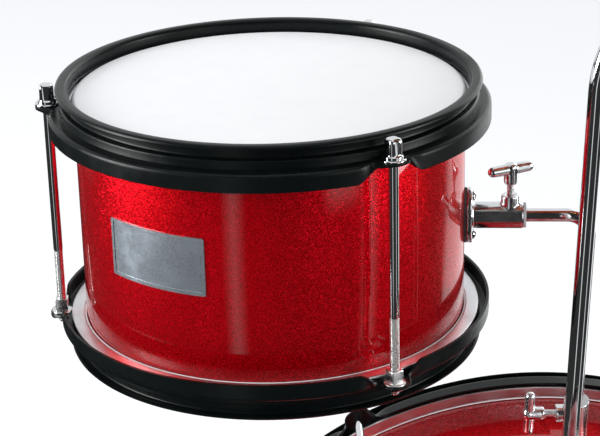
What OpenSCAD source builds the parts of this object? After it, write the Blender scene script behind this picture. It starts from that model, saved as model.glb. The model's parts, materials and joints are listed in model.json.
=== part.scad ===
// Junior acoustic drum kit: a bass drum that carries a small tom on an L-shaped arm and a
// cymbal on a bent arm. Millimetres, +Z up, audience towards -Y, floor at z = 0.
// The origin is on the floor under the middle of the whole kit.

/* [Tom] */
// Outside diameter of the tom's shell, over its wrap
tom_d = 203.2; // [180:0.1:260]
// Height of the tom from head to head
tom_depth = 131; // [100:1:180]
// Bearing of the first tension rod, from the bracket
tom_rod_turn = 65; // [45:1:75]

/* [Bass drum] */
// Outside diameter of the bass drum's shell, over its wrap
bass_d = 406.4; // [370:0.1:520]
// Depth of the bass drum from head to head
bass_depth = 280; // [230:1:400]
// Number of bass drum tension rods
bass_rods = 6; // [6:1:6]

/* [Shells and heads] */
// Thickness of the wooden shells
shell_wall = 6; // [4:0.5:8]
// Thickness of the decorative wrap
wrap_t = 0.8; // [0.4:0.1:1.2]
// Thickness of the plastic heads
film_t = 0.5; // [0.3:0.1:0.8]
// Radial room between the wrap and a head's collar
collar_gap = 0.3; // [0.2:0.1:0.5]

/* [Hoops] */
// Thickness of the stamped steel hoops
hoop_t = 1.4; // [1:0.1:1.8]
// How far a hoop's lip stands above the head
hoop_rise = 6.2; // [4:0.1:10]
// Width of the lip that turns outwards
lip_w = 5; // [3:0.5:7]
// Radial width of the flesh hoop
flesh_w = 4.8; // [3.5:0.1:6]
// Depth of the hoop's skirt below its ears
skirt_h = 8; // [5:0.5:12]
// Radius of an ear's rounded end
ear_r = 6.4; // [5.5:0.1:8]

/* [Tension rods] */
// Rod diameter
rod_d = 5; // [4:0.1:6]
// Across the flats of the square key head
key_af = 6.4; // [5:0.1:7.5]
// Washer diameter
washer_d = 12.8; // [11:0.1:13]
// Washer thickness
washer_t = 1.2; // [0.8:0.1:2]
// Height of the square nut above the ear
nut_h = 7.8; // [5:0.1:10]

/* [Brackets] */
// Thickness of the rubber gaskets
gasket_t = 1.2; // [0.8:0.1:2]
// Thickness of the bracket plates
plate_t = 3; // [2:0.5:4]
// Wall of the bracket barrels round their bushes
barrel_wall = 1.7; // [1.5:0.1:3]
// Wall of the nylon bushes
bush_wall = 1.7; // [1.2:0.1:2.5]
// Radial running clearance of every shaft and bush
run_gap = 0.05; // [0.02:0.01:0.09]
// Wing bolt thread diameter
bolt_d = 4; // [3.5:0.1:5]
// Tip to tip across a wing bolt's bar
wing_span = 27; // [20:1:32]

/* [Tom arm] */
// Diameter of the arm
arm_d = 7; // [6:0.1:9]
// From the tom's axis to the arm's upright leg
tom_reach = 168; // [163:1:200]
// Bearing of the arm's level leg, from tom to upright
arm_bearing = -5; // [-15:1:10]
// How far the level leg rises towards the upright
arm_rise = 1.75; // [0:0.05:5]
// How far the tom leans towards the drummer
tom_lean = 4.7; // [0:0.1:12]
// Radius of the arm's bend
arm_bend_r = 12; // [10:1:15]
// Height of the arm's corner above the bass drum's crown
arm_corner_h = 160.5; // [145:0.5:200]
// Place of the upright behind the bass drum's middle
arm_y = 53; // [45:1:70]
// Place of the upright beside the bass drum's middle
arm_x = 7; // [0:1:9]
// Length of the upright inside the bass drum
arm_inside = 60; // [55:1:90]

/* [Cymbal arm] */
// Diameter of the arm
tube_d = 8.5; // [8:0.1:10]
// Place of the arm behind the bass drum's middle
tube_y = -5; // [-20:1:0]
// Place of the arm beside the bass drum's middle
tube_x = -6; // [-9:1:0]
// Length of the arm inside the bass drum
tube_inside = 70; // [65:1:100]
// Height of the first bend above the crown
tube_bend_h = 255; // [220:1:320]
// Radius of both bends
tube_bend_r = 70; // [50:1:90]
// Turn of the first bend
tube_turn = 48; // [30:1:60]
// Straight run between the bends
tube_run = 30; // [20:1:60]
// Lean of the cymbal's rod
rod_lean = 12; // [5:1:20]
// Diameter of the cymbal's rod
cymbal_rod_d = 6; // [5:0.1:7]
// Diameter of the cymbal
cymbal_d = 254; // [200:1:310]
// Thickness of the cymbal
cymbal_t = 1; // [0.8:0.1:1.5]

/* [Spurs] */
// Diameter of a spur
spur_d = 9.5; // [8:0.1:11]
// Place of the spurs before the bass drum's middle
spur_y = 70; // [60:1:80]
// Where the spurs leave the shell, below its equator
spur_drop = 35; // [33:1:38]
// How steeply the spurs point down
spur_slope = 55; // [50:1:60]
// How far the spurs point forward
spur_forward = 25; // [10:1:30]
// Radius of the rubber tips
tip_r = 8; // [7:0.1:10]

/* [Hidden] */
$fn = 72;

tom_r = tom_d / 2;
bass_r = bass_d / 2;
tom_rods = 3;

// The hoop's section, measured outwards from the shell and up from the head
collar_t = 0.6;
flesh_in = collar_gap + collar_t;
flesh_out = flesh_in + flesh_w;
flesh_h = 8.1;
flesh_top = -2.9;
flesh_foot_w = 2.5;
flesh_foot_h = 2;
rim_in = 2.4;
wall_out = flesh_out + 0.1 + hoop_t;
ear_top = -6;
rod_offset = wall_out + washer_d / 2 + 0.1;
skirt_in = wall_out + 4.9;
skirt_out = skirt_in + hoop_t;
notch_r = 17;
notch_skin = 0.2;
// An ear stands this proud of the shoulder it grows from
ear_pad = 0.1;
ear_hole_d = rod_d + 2;
// Turns the start of a hoop's section away from its ears
seam_turn = 25;

// Key heads, nuts and washers
key_h = 8;
key_flange_d = 10;
key_flange_h = 1.5;
nut_af = rod_d + 1.6;
nut_flange_d = 11.5;
nut_foot_d = 10;
nut_foot_h = 1.5;
rod_end = 3;

// Screws that hold the brackets
screw_d = 3;
screw_head_d = 5.6;
screw_head_h = 1.8;
screw_nut_d = 6.4;
screw_nut_h = 2.4;
screw_inset = 4.3;

// Wing bolts
hub_d = 7.3;
hub_h = 11.6;
neck_h = 6;
bar_r = 3.2;
bar_tip_r = 2.8;
boss_d = 9.7;
boss_stand = 4.6;

// The whole kit's box is centred on the origin
bass_z = bass_r + skirt_out;
spur_axis_z = -sin(spur_slope) * cos(spur_forward);
spur_length = (bass_z - bass_r * sin(spur_drop) - tip_r) / -spur_axis_z;
spur_reach = bass_r * cos(spur_drop) + cos(spur_slope) * cos(spur_forward) * spur_length + tip_r;
tom_to_left = tom_reach * cos(arm_bearing) - arm_x + tom_r + rod_offset + ear_r;
tom_to_back = arm_y - tom_reach * sin(arm_bearing) + tom_r + skirt_out;
bass_x = (tom_to_left - spur_reach) / 2;
bass_y = -(tom_to_back - bass_depth / 2 - hoop_rise) / 2;
tom_bracket_z = -6;

// A bent rod is this much thinner all round in its bends, whose ends its straight runs cover
bend_thin = 0.03;
bend_lap = 0.5;

// Brackets and bushes
tom_plate = [30, 20];
bass_plate = [46, 27];
tom_barrel_h = 31;
bass_barrel_h = 46;
tom_boss_h = tom_barrel_h - 7;
bass_boss_h = 38;
bush_start = 5;
bush_flange_h = 1.2;
bush_flange_w = 1.4;
arm_hole_room = 1.5;
spur_barrel_od = spur_d + 8;
spur_barrel_h = 34;
spur_boss_h = 24;
spur_plate = [40, 32];

// Cymbal stack, along its rod from the arm's shoulder
cymbal_base_run = 20;
cymbal_rod_h = 56;
cup_d = 22;
cup_h = 4;
felt_h = 8;
felt_d = 30;
sleeve_wall = 1.4;
rock_gap = 0.45;
felt_slope_h = 2.6;
bell_r = 38;
bell_h = 15;
bow_h = 12;
cymbal_hole_r = 6.3;
cymbal_z = cup_h + felt_h + rock_gap;
wing_nut_z = cymbal_z + cymbal_t + rock_gap + felt_h + 0.2;

// Badge on the tom
badge_bearing = -125.6;
badge_z = 5.4;
badge_w = 58;
badge_h = 30.8;
badge_t = 0.8;

// ---------------------------------------------------------------- places

module bass_place() translate([bass_x, bass_y, bass_z]) children();

module bass_drum_frame() bass_place() rotate([-90, 0, 0]) children();

// Radial frame on the crown: x along the drum's axis, z up, origin on the drum's axis
module crown_frame(x, y) bass_place() translate([x, y, 0]) rotate([0, 0, 90]) children();

module arm_frame()
    bass_place() translate([arm_x, arm_y, bass_r + arm_corner_h])
        rotate([0, 0, arm_bearing]) children();

module tom_frame()
    arm_frame() rotate([0, -arm_rise, 0]) rotate([-tom_lean, 0, 0])
        translate([-tom_reach, 0, -tom_bracket_z]) children();

// Radial frame of the tom's bracket: z outwards along the arm, x down the drum's axis
module tom_bracket_frame()
    tom_frame() translate([0, 0, tom_bracket_z]) rotate([0, 90, 0]) children();

module cymbal_arm_frame() bass_place() translate([tube_x, tube_y, bass_r]) children();

// Spur frame: origin where the spur leaves the shell, z along the spur
module spur_frame(side)
    bass_place() mirror([side < 0 ? 1 : 0, 0, 0])
        translate([bass_r * cos(spur_drop), -spur_y, -bass_r * sin(spur_drop)])
            rotate([0, 90 + spur_slope, 0]) rotate([spur_forward, 0, 0]) children();

module spur_plate_frame(side)
    bass_place() mirror([side < 0 ? 1 : 0, 0, 0]) translate([0, -spur_y, 0])
        rotate([0, 90 + spur_drop, 0]) rotate([0, 0, 90]) children();

// Both ends of a drum: end 1 is the batter side, end -1 is the other
module drum_end(depth, end) mirror([0, 0, end < 0 ? 1 : 0]) translate([0, 0, depth / 2]) children();

module at_rods(r, count, first)
    for (i = [0:count - 1]) rotate([0, 0, first + i * 360 / count])
        translate([r + rod_offset, 0, 0]) children();

// ---------------------------------------------------------------- drum pieces

module shell_tube(r, depth) {
    outer = r - wrap_t;
    inner = r - shell_wall;
    half = depth / 2 - film_t;
    bevel = outer - inner - 1;
    rotate_extrude() polygon([
        [inner, bevel - half], [outer - 1, -half], [outer, -half],
        [outer, half], [outer - 1, half], [inner, half - bevel]
    ]);
}

module wrap_tube(r, depth) {
    half = depth / 2 - 3;
    rotate_extrude() translate([r - wrap_t, -half]) square([wrap_t, 2 * half]);
}

module film(r) {
    rotate_extrude() polygon([
        [0, -film_t], [r + collar_gap, -film_t], [r + collar_gap, flesh_top - flesh_h],
        [r + flesh_in, flesh_top - flesh_h], [r + flesh_in, 0], [0, 0]
    ]);
}

module flesh_hoop(r) {
    bottom = flesh_top - flesh_h;
    rotate_extrude() translate([r, 0]) polygon([
        [flesh_in, flesh_top], [flesh_in, bottom], [flesh_out + flesh_foot_w, bottom],
        [flesh_out + flesh_foot_w, bottom + flesh_foot_h],
        [flesh_out, bottom + flesh_foot_h], [flesh_out, flesh_top]
    ]);
}

module hoop_section(r) {
    step_top = flesh_top + hoop_t;
    shoulder_top = ear_top - ear_pad;
    shoulder_low = ear_top - hoop_t + ear_pad;
    skirt_low = ear_top - hoop_t - skirt_h;
    translate([r, 0]) polygon([
        [rim_in, flesh_top], [rim_in, hoop_rise], [rim_in + lip_w, hoop_rise],
        [rim_in + lip_w, hoop_rise - hoop_t], [rim_in + hoop_t, hoop_rise - hoop_t],
        [rim_in + hoop_t, step_top], [wall_out - 0.5, step_top], [wall_out, step_top - 0.5],
        [wall_out, shoulder_top], [skirt_out - 1.4, shoulder_top],
        [skirt_out - 0.4, shoulder_top - 0.4], [skirt_out, shoulder_top - 1.4],
        [skirt_out, skirt_low], [skirt_in, skirt_low], [skirt_in, shoulder_low],
        [wall_out - hoop_t, shoulder_low], [wall_out - hoop_t, flesh_top]
    ]);
}

module ear() {
    translate([0, 0, ear_top - hoop_t]) linear_extrude(hoop_t) {
        circle(r = ear_r);
        translate([wall_out - 0.7 - rod_offset, -ear_r])
            square([rod_offset - wall_out + 0.7, 2 * ear_r]);
    }
}

module stamped_hoop(r, count, first) {
    difference() {
        union() {
            difference() {
                rotate([0, 0, seam_turn]) rotate_extrude() hoop_section(r);
                at_rods(r, count, first) translate([-6, 0, ear_top - notch_skin - notch_r])
                    rotate([0, 90, 0]) cylinder(r = notch_r, h = 12);
            }
            at_rods(r, count, first) ear();
        }
        at_rods(r, count, first) translate([0, 0, ear_top - 2 * hoop_t])
            cylinder(d = ear_hole_d, h = 3 * hoop_t);
    }
}

// One rod, in a drum's frame before it is turned to its place
module tension_rod(r, depth) {
    seat = depth / 2 + ear_top + washer_t;
    foot = -depth / 2 - ear_top - nut_foot_h - rod_end;
    translate([r + rod_offset, 0, 0]) {
        translate([0, 0, foot]) cylinder(d = rod_d, h = seat - foot + 1);
        translate([0, 0, seat]) cylinder(d = key_flange_d, h = key_flange_h);
        translate([-key_af / 2, -key_af / 2, seat + 1]) cube([key_af, key_af, key_h]);
        translate([0, 0, seat + 1 + key_h]) cylinder(d1 = key_af, d2 = key_af - 2.4, h = 1.2);
    }
}

module rod_washer() {
    translate([0, 0, ear_top]) difference() {
        cylinder(d = washer_d, h = washer_t);
        translate([0, 0, -1]) cylinder(d = rod_d + 0.3, h = washer_t + 2);
    }
}

// Square nut on the shell side of an ear, swaged through it
module rod_nut() {
    inner_face = ear_top - hoop_t;
    difference() {
        union() {
            translate([0, 0, inner_face - washer_t]) cylinder(d = nut_flange_d, h = washer_t);
            translate([-nut_af / 2, -nut_af / 2, inner_face - nut_h]) cube([nut_af, nut_af, nut_h]);
            translate([0, 0, inner_face]) cylinder(d = ear_hole_d, h = hoop_t);
            translate([0, 0, ear_top]) cylinder(d = nut_foot_d, h = nut_foot_h);
        }
        translate([0, 0, inner_face - nut_h - 1])
            cylinder(d = rod_d + 2 * run_gap, h = nut_h + hoop_t + nut_foot_h + 2);
    }
}

// ---------------------------------------------------------------- bracket pieces

// Outline of a bracket plate: a rectangle with two round ends
module plate_outline(size) {
    square([size[0] - size[1], size[1]], center = true);
    for (end = [-1, 1]) translate([end * (size[0] - size[1]) / 2, 0]) circle(d = size[1]);
}

// The outline wrapped on a drum of radius r, between two heights above its shell
module wrapped_plate(r, side, size, from, to) {
    difference() {
        intersection() {
            translate([0, 0, r - size[1]]) linear_extrude(2 * size[1]) plate_outline(size);
            translate([0, side, 0]) rotate([0, 90, 0]) cylinder(r = r + to, h = 2 * size[0], center = true);
        }
        translate([0, side, 0]) rotate([0, 90, 0])
            cylinder(r = r + from, h = 3 * size[0], center = true);
    }
}

module at_screws(size)
    for (end = [-1, 1]) translate([end * (size[0] / 2 - screw_inset), 0, 0]) children();

module gasket(r, side, size, shaft_d) {
    difference() {
        wrapped_plate(r, side, size, 0, gasket_t);
        cylinder(d = shaft_d + 2 * arm_hole_room, h = 2 * r);
        at_screws(size) cylinder(d = screw_d + 0.2, h = 2 * r);
    }
}

function bush_od(shaft_d) = shaft_d + 2 * run_gap + 2 * bush_wall;

function barrel_od(shaft_d) = bush_od(shaft_d) + 2 * run_gap + 2 * barrel_wall;

// A plate, a barrel for a bush and a boss for a wing bolt, as one casting
module bracket(r, side, size, shaft_d, barrel_h, boss_h, boss_turn, foot_w) {
    barrel = barrel_od(shaft_d);
    difference() {
        union() {
            wrapped_plate(r, side, size, gasket_t, gasket_t + plate_t);
            translate([0, 0, r]) cylinder(d = barrel, h = barrel_h);
            if (foot_w > 0)
                translate([0, 0, r]) cylinder(d1 = barrel + 2 * foot_w, d2 = barrel, h = 4 * foot_w);
            translate([0, 0, r + boss_h]) rotate([0, 90, boss_turn])
                cylinder(d = boss_d, h = barrel / 2 + boss_stand);
        }
        translate([0, side, 0]) rotate([0, 90, 0])
            cylinder(r = r + gasket_t, h = 3 * size[0], center = true);
        translate([0, 0, r - 1]) cylinder(d = bush_od(shaft_d) + 2 * run_gap, h = barrel_h + 2);
        translate([0, 0, r + boss_h]) rotate([0, 90, boss_turn])
            cylinder(d = bolt_d + 2 * run_gap, h = barrel);
        at_screws(size) cylinder(d = screw_d + 0.2, h = r + gasket_t + plate_t + 1);
        at_screws(size) translate([0, 0, r + gasket_t + plate_t])
            cylinder(d = screw_head_d + 0.2, h = screw_head_h + 4);
    }
}

// Pan-head screws and their nuts inside the shell
module bracket_screw_set(r, size) {
    seat = r + gasket_t + plate_t;
    nut_top = r - shell_wall - 0.3;
    at_screws(size) {
        translate([0, 0, seat]) cylinder(d1 = screw_head_d, d2 = screw_head_d - 2, h = screw_head_h);
        translate([0, 0, nut_top - screw_nut_h - 1])
            cylinder(d = screw_d, h = seat - nut_top + screw_nut_h + 2);
        translate([0, 0, nut_top - screw_nut_h]) difference() {
            cylinder(d = screw_nut_d, h = screw_nut_h, $fn = 6);
            translate([0, 0, -1]) cylinder(d = screw_d + 0.1, h = screw_nut_h + 2);
        }
    }
}

module bush(r, shaft_d, barrel_h) {
    top = r + barrel_h + 0.1;
    difference() {
        union() {
            translate([0, 0, r + bush_start])
                cylinder(d = bush_od(shaft_d), h = top - r - bush_start + bush_flange_h);
            translate([0, 0, top])
                cylinder(d = bush_od(shaft_d) + 2 * bush_flange_w, h = bush_flange_h);
        }
        cylinder(d = shaft_d + 2 * run_gap, h = 2 * r + 2 * barrel_h);
    }
}

// One peg of the bar, from the hub's axis outwards
module wing_peg() {
    tip = wing_span / 2 - bar_tip_r;
    rotate([0, 90, 0]) cylinder(r1 = bar_r, r2 = bar_tip_r, h = tip);
    translate([tip, 0, 0]) sphere(r = bar_tip_r);
}

// T-shaped wing bolt, its tip on the bush: z outwards from the barrel's axis
module wing_bolt(shaft_d, bar_turn) {
    tip = bush_od(shaft_d) / 2 + run_gap + 0.1;
    hub = barrel_od(shaft_d) / 2 + boss_stand + neck_h;
    translate([0, 0, tip]) cylinder(d = bolt_d, h = hub - tip + 1);
    translate([0, 0, hub]) cylinder(d = hub_d, h = hub_h);
    translate([0, 0, hub + hub_h - bar_r - 0.6]) rotate([0, 0, bar_turn])
        for (side = [0, 180]) rotate([0, 0, side]) wing_peg();
}

module wing_bolt_at(r, shaft_d, boss_h, boss_turn, bar_turn)
    translate([0, 0, r + boss_h]) rotate([0, 90, boss_turn]) wing_bolt(shaft_d, bar_turn);

// A bend that starts along +z and turns towards +x, then what follows it
module bent(radius, turn, d) {
    translate([radius, 0, 0]) rotate([90, 0, 0]) rotate([0, 0, 180 - turn])
        rotate_extrude(angle = turn) translate([radius, 0]) circle(d = d - 2 * bend_thin);
    translate([radius, 0, 0]) rotate([0, turn, 0]) translate([-radius, 0, 0]) children();
}

module rounded_end(d) {
    cylinder(d1 = d, d2 = d - 1.6, h = 0.8);
}

// ---------------------------------------------------------------- bass drum

module bass_shell() {
    color("tan") difference() {
        bass_drum_frame() shell_tube(bass_r, bass_depth);
        shell_holes();
    }
}

// Everything that passes through the bass drum's shell
module shell_holes() {
    crown_frame(arm_x, arm_y) {
        translate([0, 0, bass_r - 20]) cylinder(d = arm_d + 2 * arm_hole_room, h = 40);
        at_screws(bass_plate) translate([0, 0, bass_r - 20]) cylinder(d = screw_d + 0.2, h = 40);
    }
    crown_frame(tube_x, tube_y) {
        translate([0, 0, bass_r - 20]) cylinder(d = tube_d + 2 * arm_hole_room, h = 40);
        at_screws(bass_plate) translate([0, 0, bass_r - 20]) cylinder(d = screw_d + 0.2, h = 40);
    }
    for (side = [-1, 1]) {
        spur_frame(side) cylinder(d = spur_d + 2 * arm_hole_room, h = 60, center = true);
        spur_plate_frame(side) at_screws(spur_plate) translate([0, 0, bass_r - 20])
            cylinder(d = screw_d + 0.2, h = 40);
    }
}

module bass_wrap() {
    color("crimson") difference() {
        bass_drum_frame() wrap_tube(bass_r, bass_depth);
        shell_holes();
    }
}

module bass_batter_film()
    color("white") bass_drum_frame() drum_end(bass_depth, 1) film(bass_r);

module bass_front_film()
    color("white") bass_drum_frame() drum_end(bass_depth, -1) film(bass_r);

module bass_batter_flesh_hoop()
    color("lightgray") bass_drum_frame() drum_end(bass_depth, 1) flesh_hoop(bass_r);

module bass_front_flesh_hoop()
    color("lightgray") bass_drum_frame() drum_end(bass_depth, -1) flesh_hoop(bass_r);

module bass_batter_hoop()
    color("black") bass_drum_frame() drum_end(bass_depth, 1)
        stamped_hoop(bass_r, bass_rods, 0);

module bass_front_hoop()
    color("black") bass_drum_frame() drum_end(bass_depth, -1)
        stamped_hoop(bass_r, bass_rods, 0);

module bass_rod(i)
    color("silver") bass_drum_frame() rotate([0, 0, i * 360 / bass_rods])
        tension_rod(bass_r, bass_depth);

module bass_rod_washers()
    color("silver") bass_drum_frame() drum_end(bass_depth, 1)
        at_rods(bass_r, bass_rods, 0) rod_washer();

module bass_rod_nuts()
    color("silver") bass_drum_frame() drum_end(bass_depth, -1)
        at_rods(bass_r, bass_rods, 0) rod_nut();

// ---------------------------------------------------------------- brackets on the bass drum

module bracket_gaskets()
    color("dimgray") {
        crown_frame(arm_x, arm_y) gasket(bass_r, arm_x, bass_plate, arm_d);
        crown_frame(tube_x, tube_y) gasket(bass_r, tube_x, bass_plate, tube_d);
        for (side = [-1, 1]) difference() {
            spur_plate_frame(side) wrapped_plate(bass_r, 0, spur_plate, 0, gasket_t);
            spur_frame(side) cylinder(d = spur_d + 2 * arm_hole_room, h = 80, center = true);
            spur_plate_frame(side) at_screws(spur_plate) cylinder(d = screw_d + 0.2, h = 2 * bass_r);
        }
    }

module bracket_screws()
    color("silver") {
        crown_frame(arm_x, arm_y) bracket_screw_set(bass_r, bass_plate);
        crown_frame(tube_x, tube_y) bracket_screw_set(bass_r, bass_plate);
        for (side = [-1, 1]) spur_plate_frame(side) bracket_screw_set(bass_r, spur_plate);
    }

module arm_bracket()
    color("silver") crown_frame(arm_x, arm_y)
        bracket(bass_r, arm_x, bass_plate, arm_d, bass_barrel_h, bass_boss_h, 90, 3);

module arm_bush()
    color("ivory") crown_frame(arm_x, arm_y) bush(bass_r, arm_d, bass_barrel_h);

module arm_wing_bolt()
    color("silver") crown_frame(arm_x, arm_y)
        wing_bolt_at(bass_r, arm_d, bass_boss_h, 90, 0);

module cymbal_bracket()
    color("silver") crown_frame(tube_x, tube_y)
        bracket(bass_r, tube_x, bass_plate, tube_d, bass_barrel_h, bass_boss_h, -90, 3);

module cymbal_bush()
    color("ivory") crown_frame(tube_x, tube_y) bush(bass_r, tube_d, bass_barrel_h);

module cymbal_wing_bolt()
    color("silver") crown_frame(tube_x, tube_y)
        wing_bolt_at(bass_r, tube_d, bass_boss_h, -90, 30);

// ---------------------------------------------------------------- arms

module tom_arm() {
    turn = 90 + arm_rise;
    tangent = arm_bend_r * tan(turn / 2);
    upright = arm_corner_h + arm_inside - tangent;
    level = tom_reach - tangent - tom_r + 35;
    color("silver") arm_frame() {
        translate([0, 0, -tangent - upright]) cylinder(d = arm_d, h = upright + bend_lap);
        translate([0, 0, -tangent - upright]) mirror([0, 0, 1]) rounded_end(arm_d);
        translate([0, 0, -tangent]) rotate([0, 0, 180]) bent(arm_bend_r, turn, arm_d) {
            translate([0, 0, -bend_lap]) cylinder(d = arm_d, h = level + bend_lap);
            translate([0, 0, level]) rounded_end(arm_d);
        }
    }
}

// Everything at the end of the cymbal's arm, z along the cymbal's rod
module cymbal_rod_frame()
    cymbal_arm_frame() translate([0, 0, tube_bend_h]) bend_on(tube_turn)
        translate([0, 0, tube_run]) bend_on(rod_lean - tube_turn)
            translate([0, 0, cymbal_base_run]) children();

// Moves on through a bend without drawing it; a negative turn bends back
module bend_on(turn) {
    radius = turn < 0 ? -tube_bend_r : tube_bend_r;
    translate([radius, 0, 0]) rotate([0, turn, 0]) translate([-radius, 0, 0]) children();
}

module cymbal_arm() {
    back_turn = tube_turn - rod_lean;
    color("silver") cymbal_arm_frame() {
        translate([0, 0, -tube_inside])
            cylinder(d = tube_d, h = tube_inside + tube_bend_h + bend_lap);
        translate([0, 0, -tube_inside]) mirror([0, 0, 1]) rounded_end(tube_d);
        translate([0, 0, tube_bend_h]) bent(tube_bend_r, tube_turn, tube_d) {
            translate([0, 0, -bend_lap]) cylinder(d = tube_d, h = tube_run + 2 * bend_lap);
            translate([-tube_bend_r, 0, tube_run]) rotate([90, 0, 0])
                rotate_extrude(angle = back_turn) translate([tube_bend_r, 0])
                    circle(d = tube_d - 2 * bend_thin);
        }
    }
}

// Turned stud in the arm's end: a socket, a shoulder for the felts and the threaded rod
module cymbal_rod() {
    color("silver") cymbal_rod_frame() {
        translate([0, 0, -cymbal_base_run]) cylinder(d = tube_d + 2.5, h = cymbal_base_run);
        rotate_extrude() polygon([
            [0, 0], [cup_d / 2 - 2, 0], [cup_d / 2, 1.5], [cup_d / 2, cup_h], [0, cup_h]
        ]);
        cylinder(d = cymbal_rod_d, h = cymbal_rod_h);
        translate([0, 0, cymbal_rod_h]) rounded_end(cymbal_rod_d);
    }
}

module cymbal_sleeve() {
    inner = cymbal_rod_d / 2 + run_gap;
    color("ivory") cymbal_rod_frame() translate([0, 0, cup_h + 0.1]) rotate_extrude()
        translate([inner, 0]) square([sleeve_wall, wing_nut_z - cup_h - 0.2]);
}

sleeve_r = cymbal_rod_d / 2 + run_gap + sleeve_wall;

// A felt washer whose inner face falls away so that the cymbal can rock on it
module felt()
    rotate_extrude() polygon([
        [sleeve_r + 0.05, 0], [felt_d / 2 - 1, 0], [felt_d / 2, 1],
        [felt_d / 2, felt_h - felt_slope_h], [sleeve_r + 1, felt_h], [sleeve_r + 0.05, felt_h]
    ]);

module lower_felt()
    color("dimgray") cymbal_rod_frame() translate([0, 0, cup_h + 0.1]) felt();

module upper_felt()
    color("dimgray") cymbal_rod_frame()
        translate([0, 0, cymbal_z + cymbal_t + rock_gap + felt_h]) mirror([0, 0, 1]) felt();

function bell_drop(r) = r < bell_r
    ? bell_h * pow((r - cymbal_hole_r) / (bell_r - cymbal_hole_r), 2)
    : bell_h + bow_h * pow((r - bell_r) / (cymbal_d / 2 - bell_r), 1.25);

module cymbal() {
    steps = 22;
    radii = [for (i = [0:steps]) cymbal_hole_r + (cymbal_d / 2 - cymbal_hole_r) * i / steps];
    lower = [for (r = radii) [r, -bell_drop(r)]];
    upper = [for (i = [steps:-1:0]) [radii[i], cymbal_t - bell_drop(radii[i])]];
    color("goldenrod") cymbal_rod_frame() translate([0, 0, cymbal_z])
        rotate_extrude() polygon(concat(lower, upper));
}

module cymbal_wing_nut() {
    boss_h = 9;
    wing_t = 2.4;
    color("silver") cymbal_rod_frame() translate([0, 0, wing_nut_z]) difference() {
        union() {
            cylinder(d1 = 14, d2 = 11, h = boss_h);
            rotate([90, 0, 20]) translate([0, 0, -wing_t / 2]) linear_extrude(wing_t)
                for (side = [-1, 1]) {
                    polygon([[side * 3, 1], [side * 8, 3], [side * 16, 8], [side * 10, 13], [side * 4, 8]]);
                    translate([side * 12.5, 11]) circle(r = 4.6);
                }
        }
        translate([0, 0, -1]) cylinder(d = cymbal_rod_d + 2 * run_gap, h = 30);
    }
}

// ---------------------------------------------------------------- spurs

module spur_bracket(side) {
    color("silver") difference() {
        union() {
            spur_plate_frame(side)
                wrapped_plate(bass_r, 0, spur_plate, gasket_t, gasket_t + plate_t);
            spur_frame(side) {
                translate([0, 0, -8]) cylinder(d = spur_barrel_od, h = spur_barrel_h + 8);
                translate([0, 0, spur_boss_h]) rotate([0, -90, 0])
                    cylinder(d = boss_d, h = spur_barrel_od / 2 + boss_stand);
            }
        }
        spur_plate_frame(side) rotate([0, 90, 0])
            cylinder(r = bass_r + gasket_t, h = 200, center = true);
        spur_frame(side) cylinder(d = spur_d + 2 * run_gap, h = 200, center = true);
        spur_frame(side) translate([0, 0, spur_boss_h]) rotate([0, -90, 0])
            cylinder(d = bolt_d + 2 * run_gap, h = spur_barrel_od);
        spur_plate_frame(side) at_screws(spur_plate) {
            cylinder(d = screw_d + 0.2, h = bass_r + 20);
            translate([0, 0, bass_r + gasket_t + plate_t])
                cylinder(d = screw_head_d + 0.2, h = screw_head_h + 4);
        }
    }
}

module spur(side)
    color("silver") spur_frame(side) {
        translate([0, 0, -25]) cylinder(d = spur_d, h = 25 + spur_length - 4);
        translate([0, 0, -25]) mirror([0, 0, 1]) rounded_end(spur_d);
    }

module spur_tip(side)
    color("dimgray") spur_frame(side) translate([0, 0, spur_length]) difference() {
        union() {
            sphere(r = tip_r);
            translate([0, 0, -20]) cylinder(r = tip_r, h = 20);
        }
        translate([0, 0, -21]) cylinder(d = spur_d, h = 17);
    }

module spur_wing_bolt(side) {
    tip = spur_d / 2 + 0.1;
    hub = spur_barrel_od / 2 + boss_stand + neck_h;
    color("silver") spur_frame(side) translate([0, 0, spur_boss_h]) rotate([0, -90, 0]) {
        translate([0, 0, tip]) cylinder(d = bolt_d, h = hub - tip + 1);
        translate([0, 0, hub]) cylinder(d = hub_d, h = hub_h);
        translate([0, 0, hub + hub_h - bar_r - 0.6])
            for (end = [0, 180]) rotate([0, 0, 90 + end]) wing_peg();
    }
}

// ---------------------------------------------------------------- tom

module tom_holes()
    tom_bracket_frame() {
        translate([0, 0, tom_r - 20]) cylinder(d = arm_d + 2 * arm_hole_room, h = 40);
        at_screws(tom_plate) translate([0, 0, tom_r - 20]) cylinder(d = screw_d + 0.2, h = 40);
    }

module tom_shell()
    color("tan") difference() {
        tom_frame() shell_tube(tom_r, tom_depth);
        tom_holes();
    }

module tom_wrap()
    color("crimson") difference() {
        tom_frame() wrap_tube(tom_r, tom_depth);
        tom_holes();
    }

module tom_batter_film() color("white") tom_frame() drum_end(tom_depth, 1) film(tom_r);

module tom_resonant_film() color("white") tom_frame() drum_end(tom_depth, -1) film(tom_r);

module tom_batter_flesh_hoop()
    color("lightgray") tom_frame() drum_end(tom_depth, 1) flesh_hoop(tom_r);

module tom_resonant_flesh_hoop()
    color("lightgray") tom_frame() drum_end(tom_depth, -1) flesh_hoop(tom_r);

module tom_batter_hoop()
    color("black") tom_frame() drum_end(tom_depth, 1)
        stamped_hoop(tom_r, tom_rods, tom_rod_turn);

module tom_resonant_hoop()
    color("black") tom_frame() drum_end(tom_depth, -1)
        stamped_hoop(tom_r, tom_rods, tom_rod_turn);

module tom_rod(i)
    color("silver") tom_frame() rotate([0, 0, tom_rod_turn + i * 360 / tom_rods])
        tension_rod(tom_r, tom_depth);

module tom_rod_washers()
    color("silver") tom_frame() drum_end(tom_depth, 1)
        at_rods(tom_r, tom_rods, tom_rod_turn) rod_washer();

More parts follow.
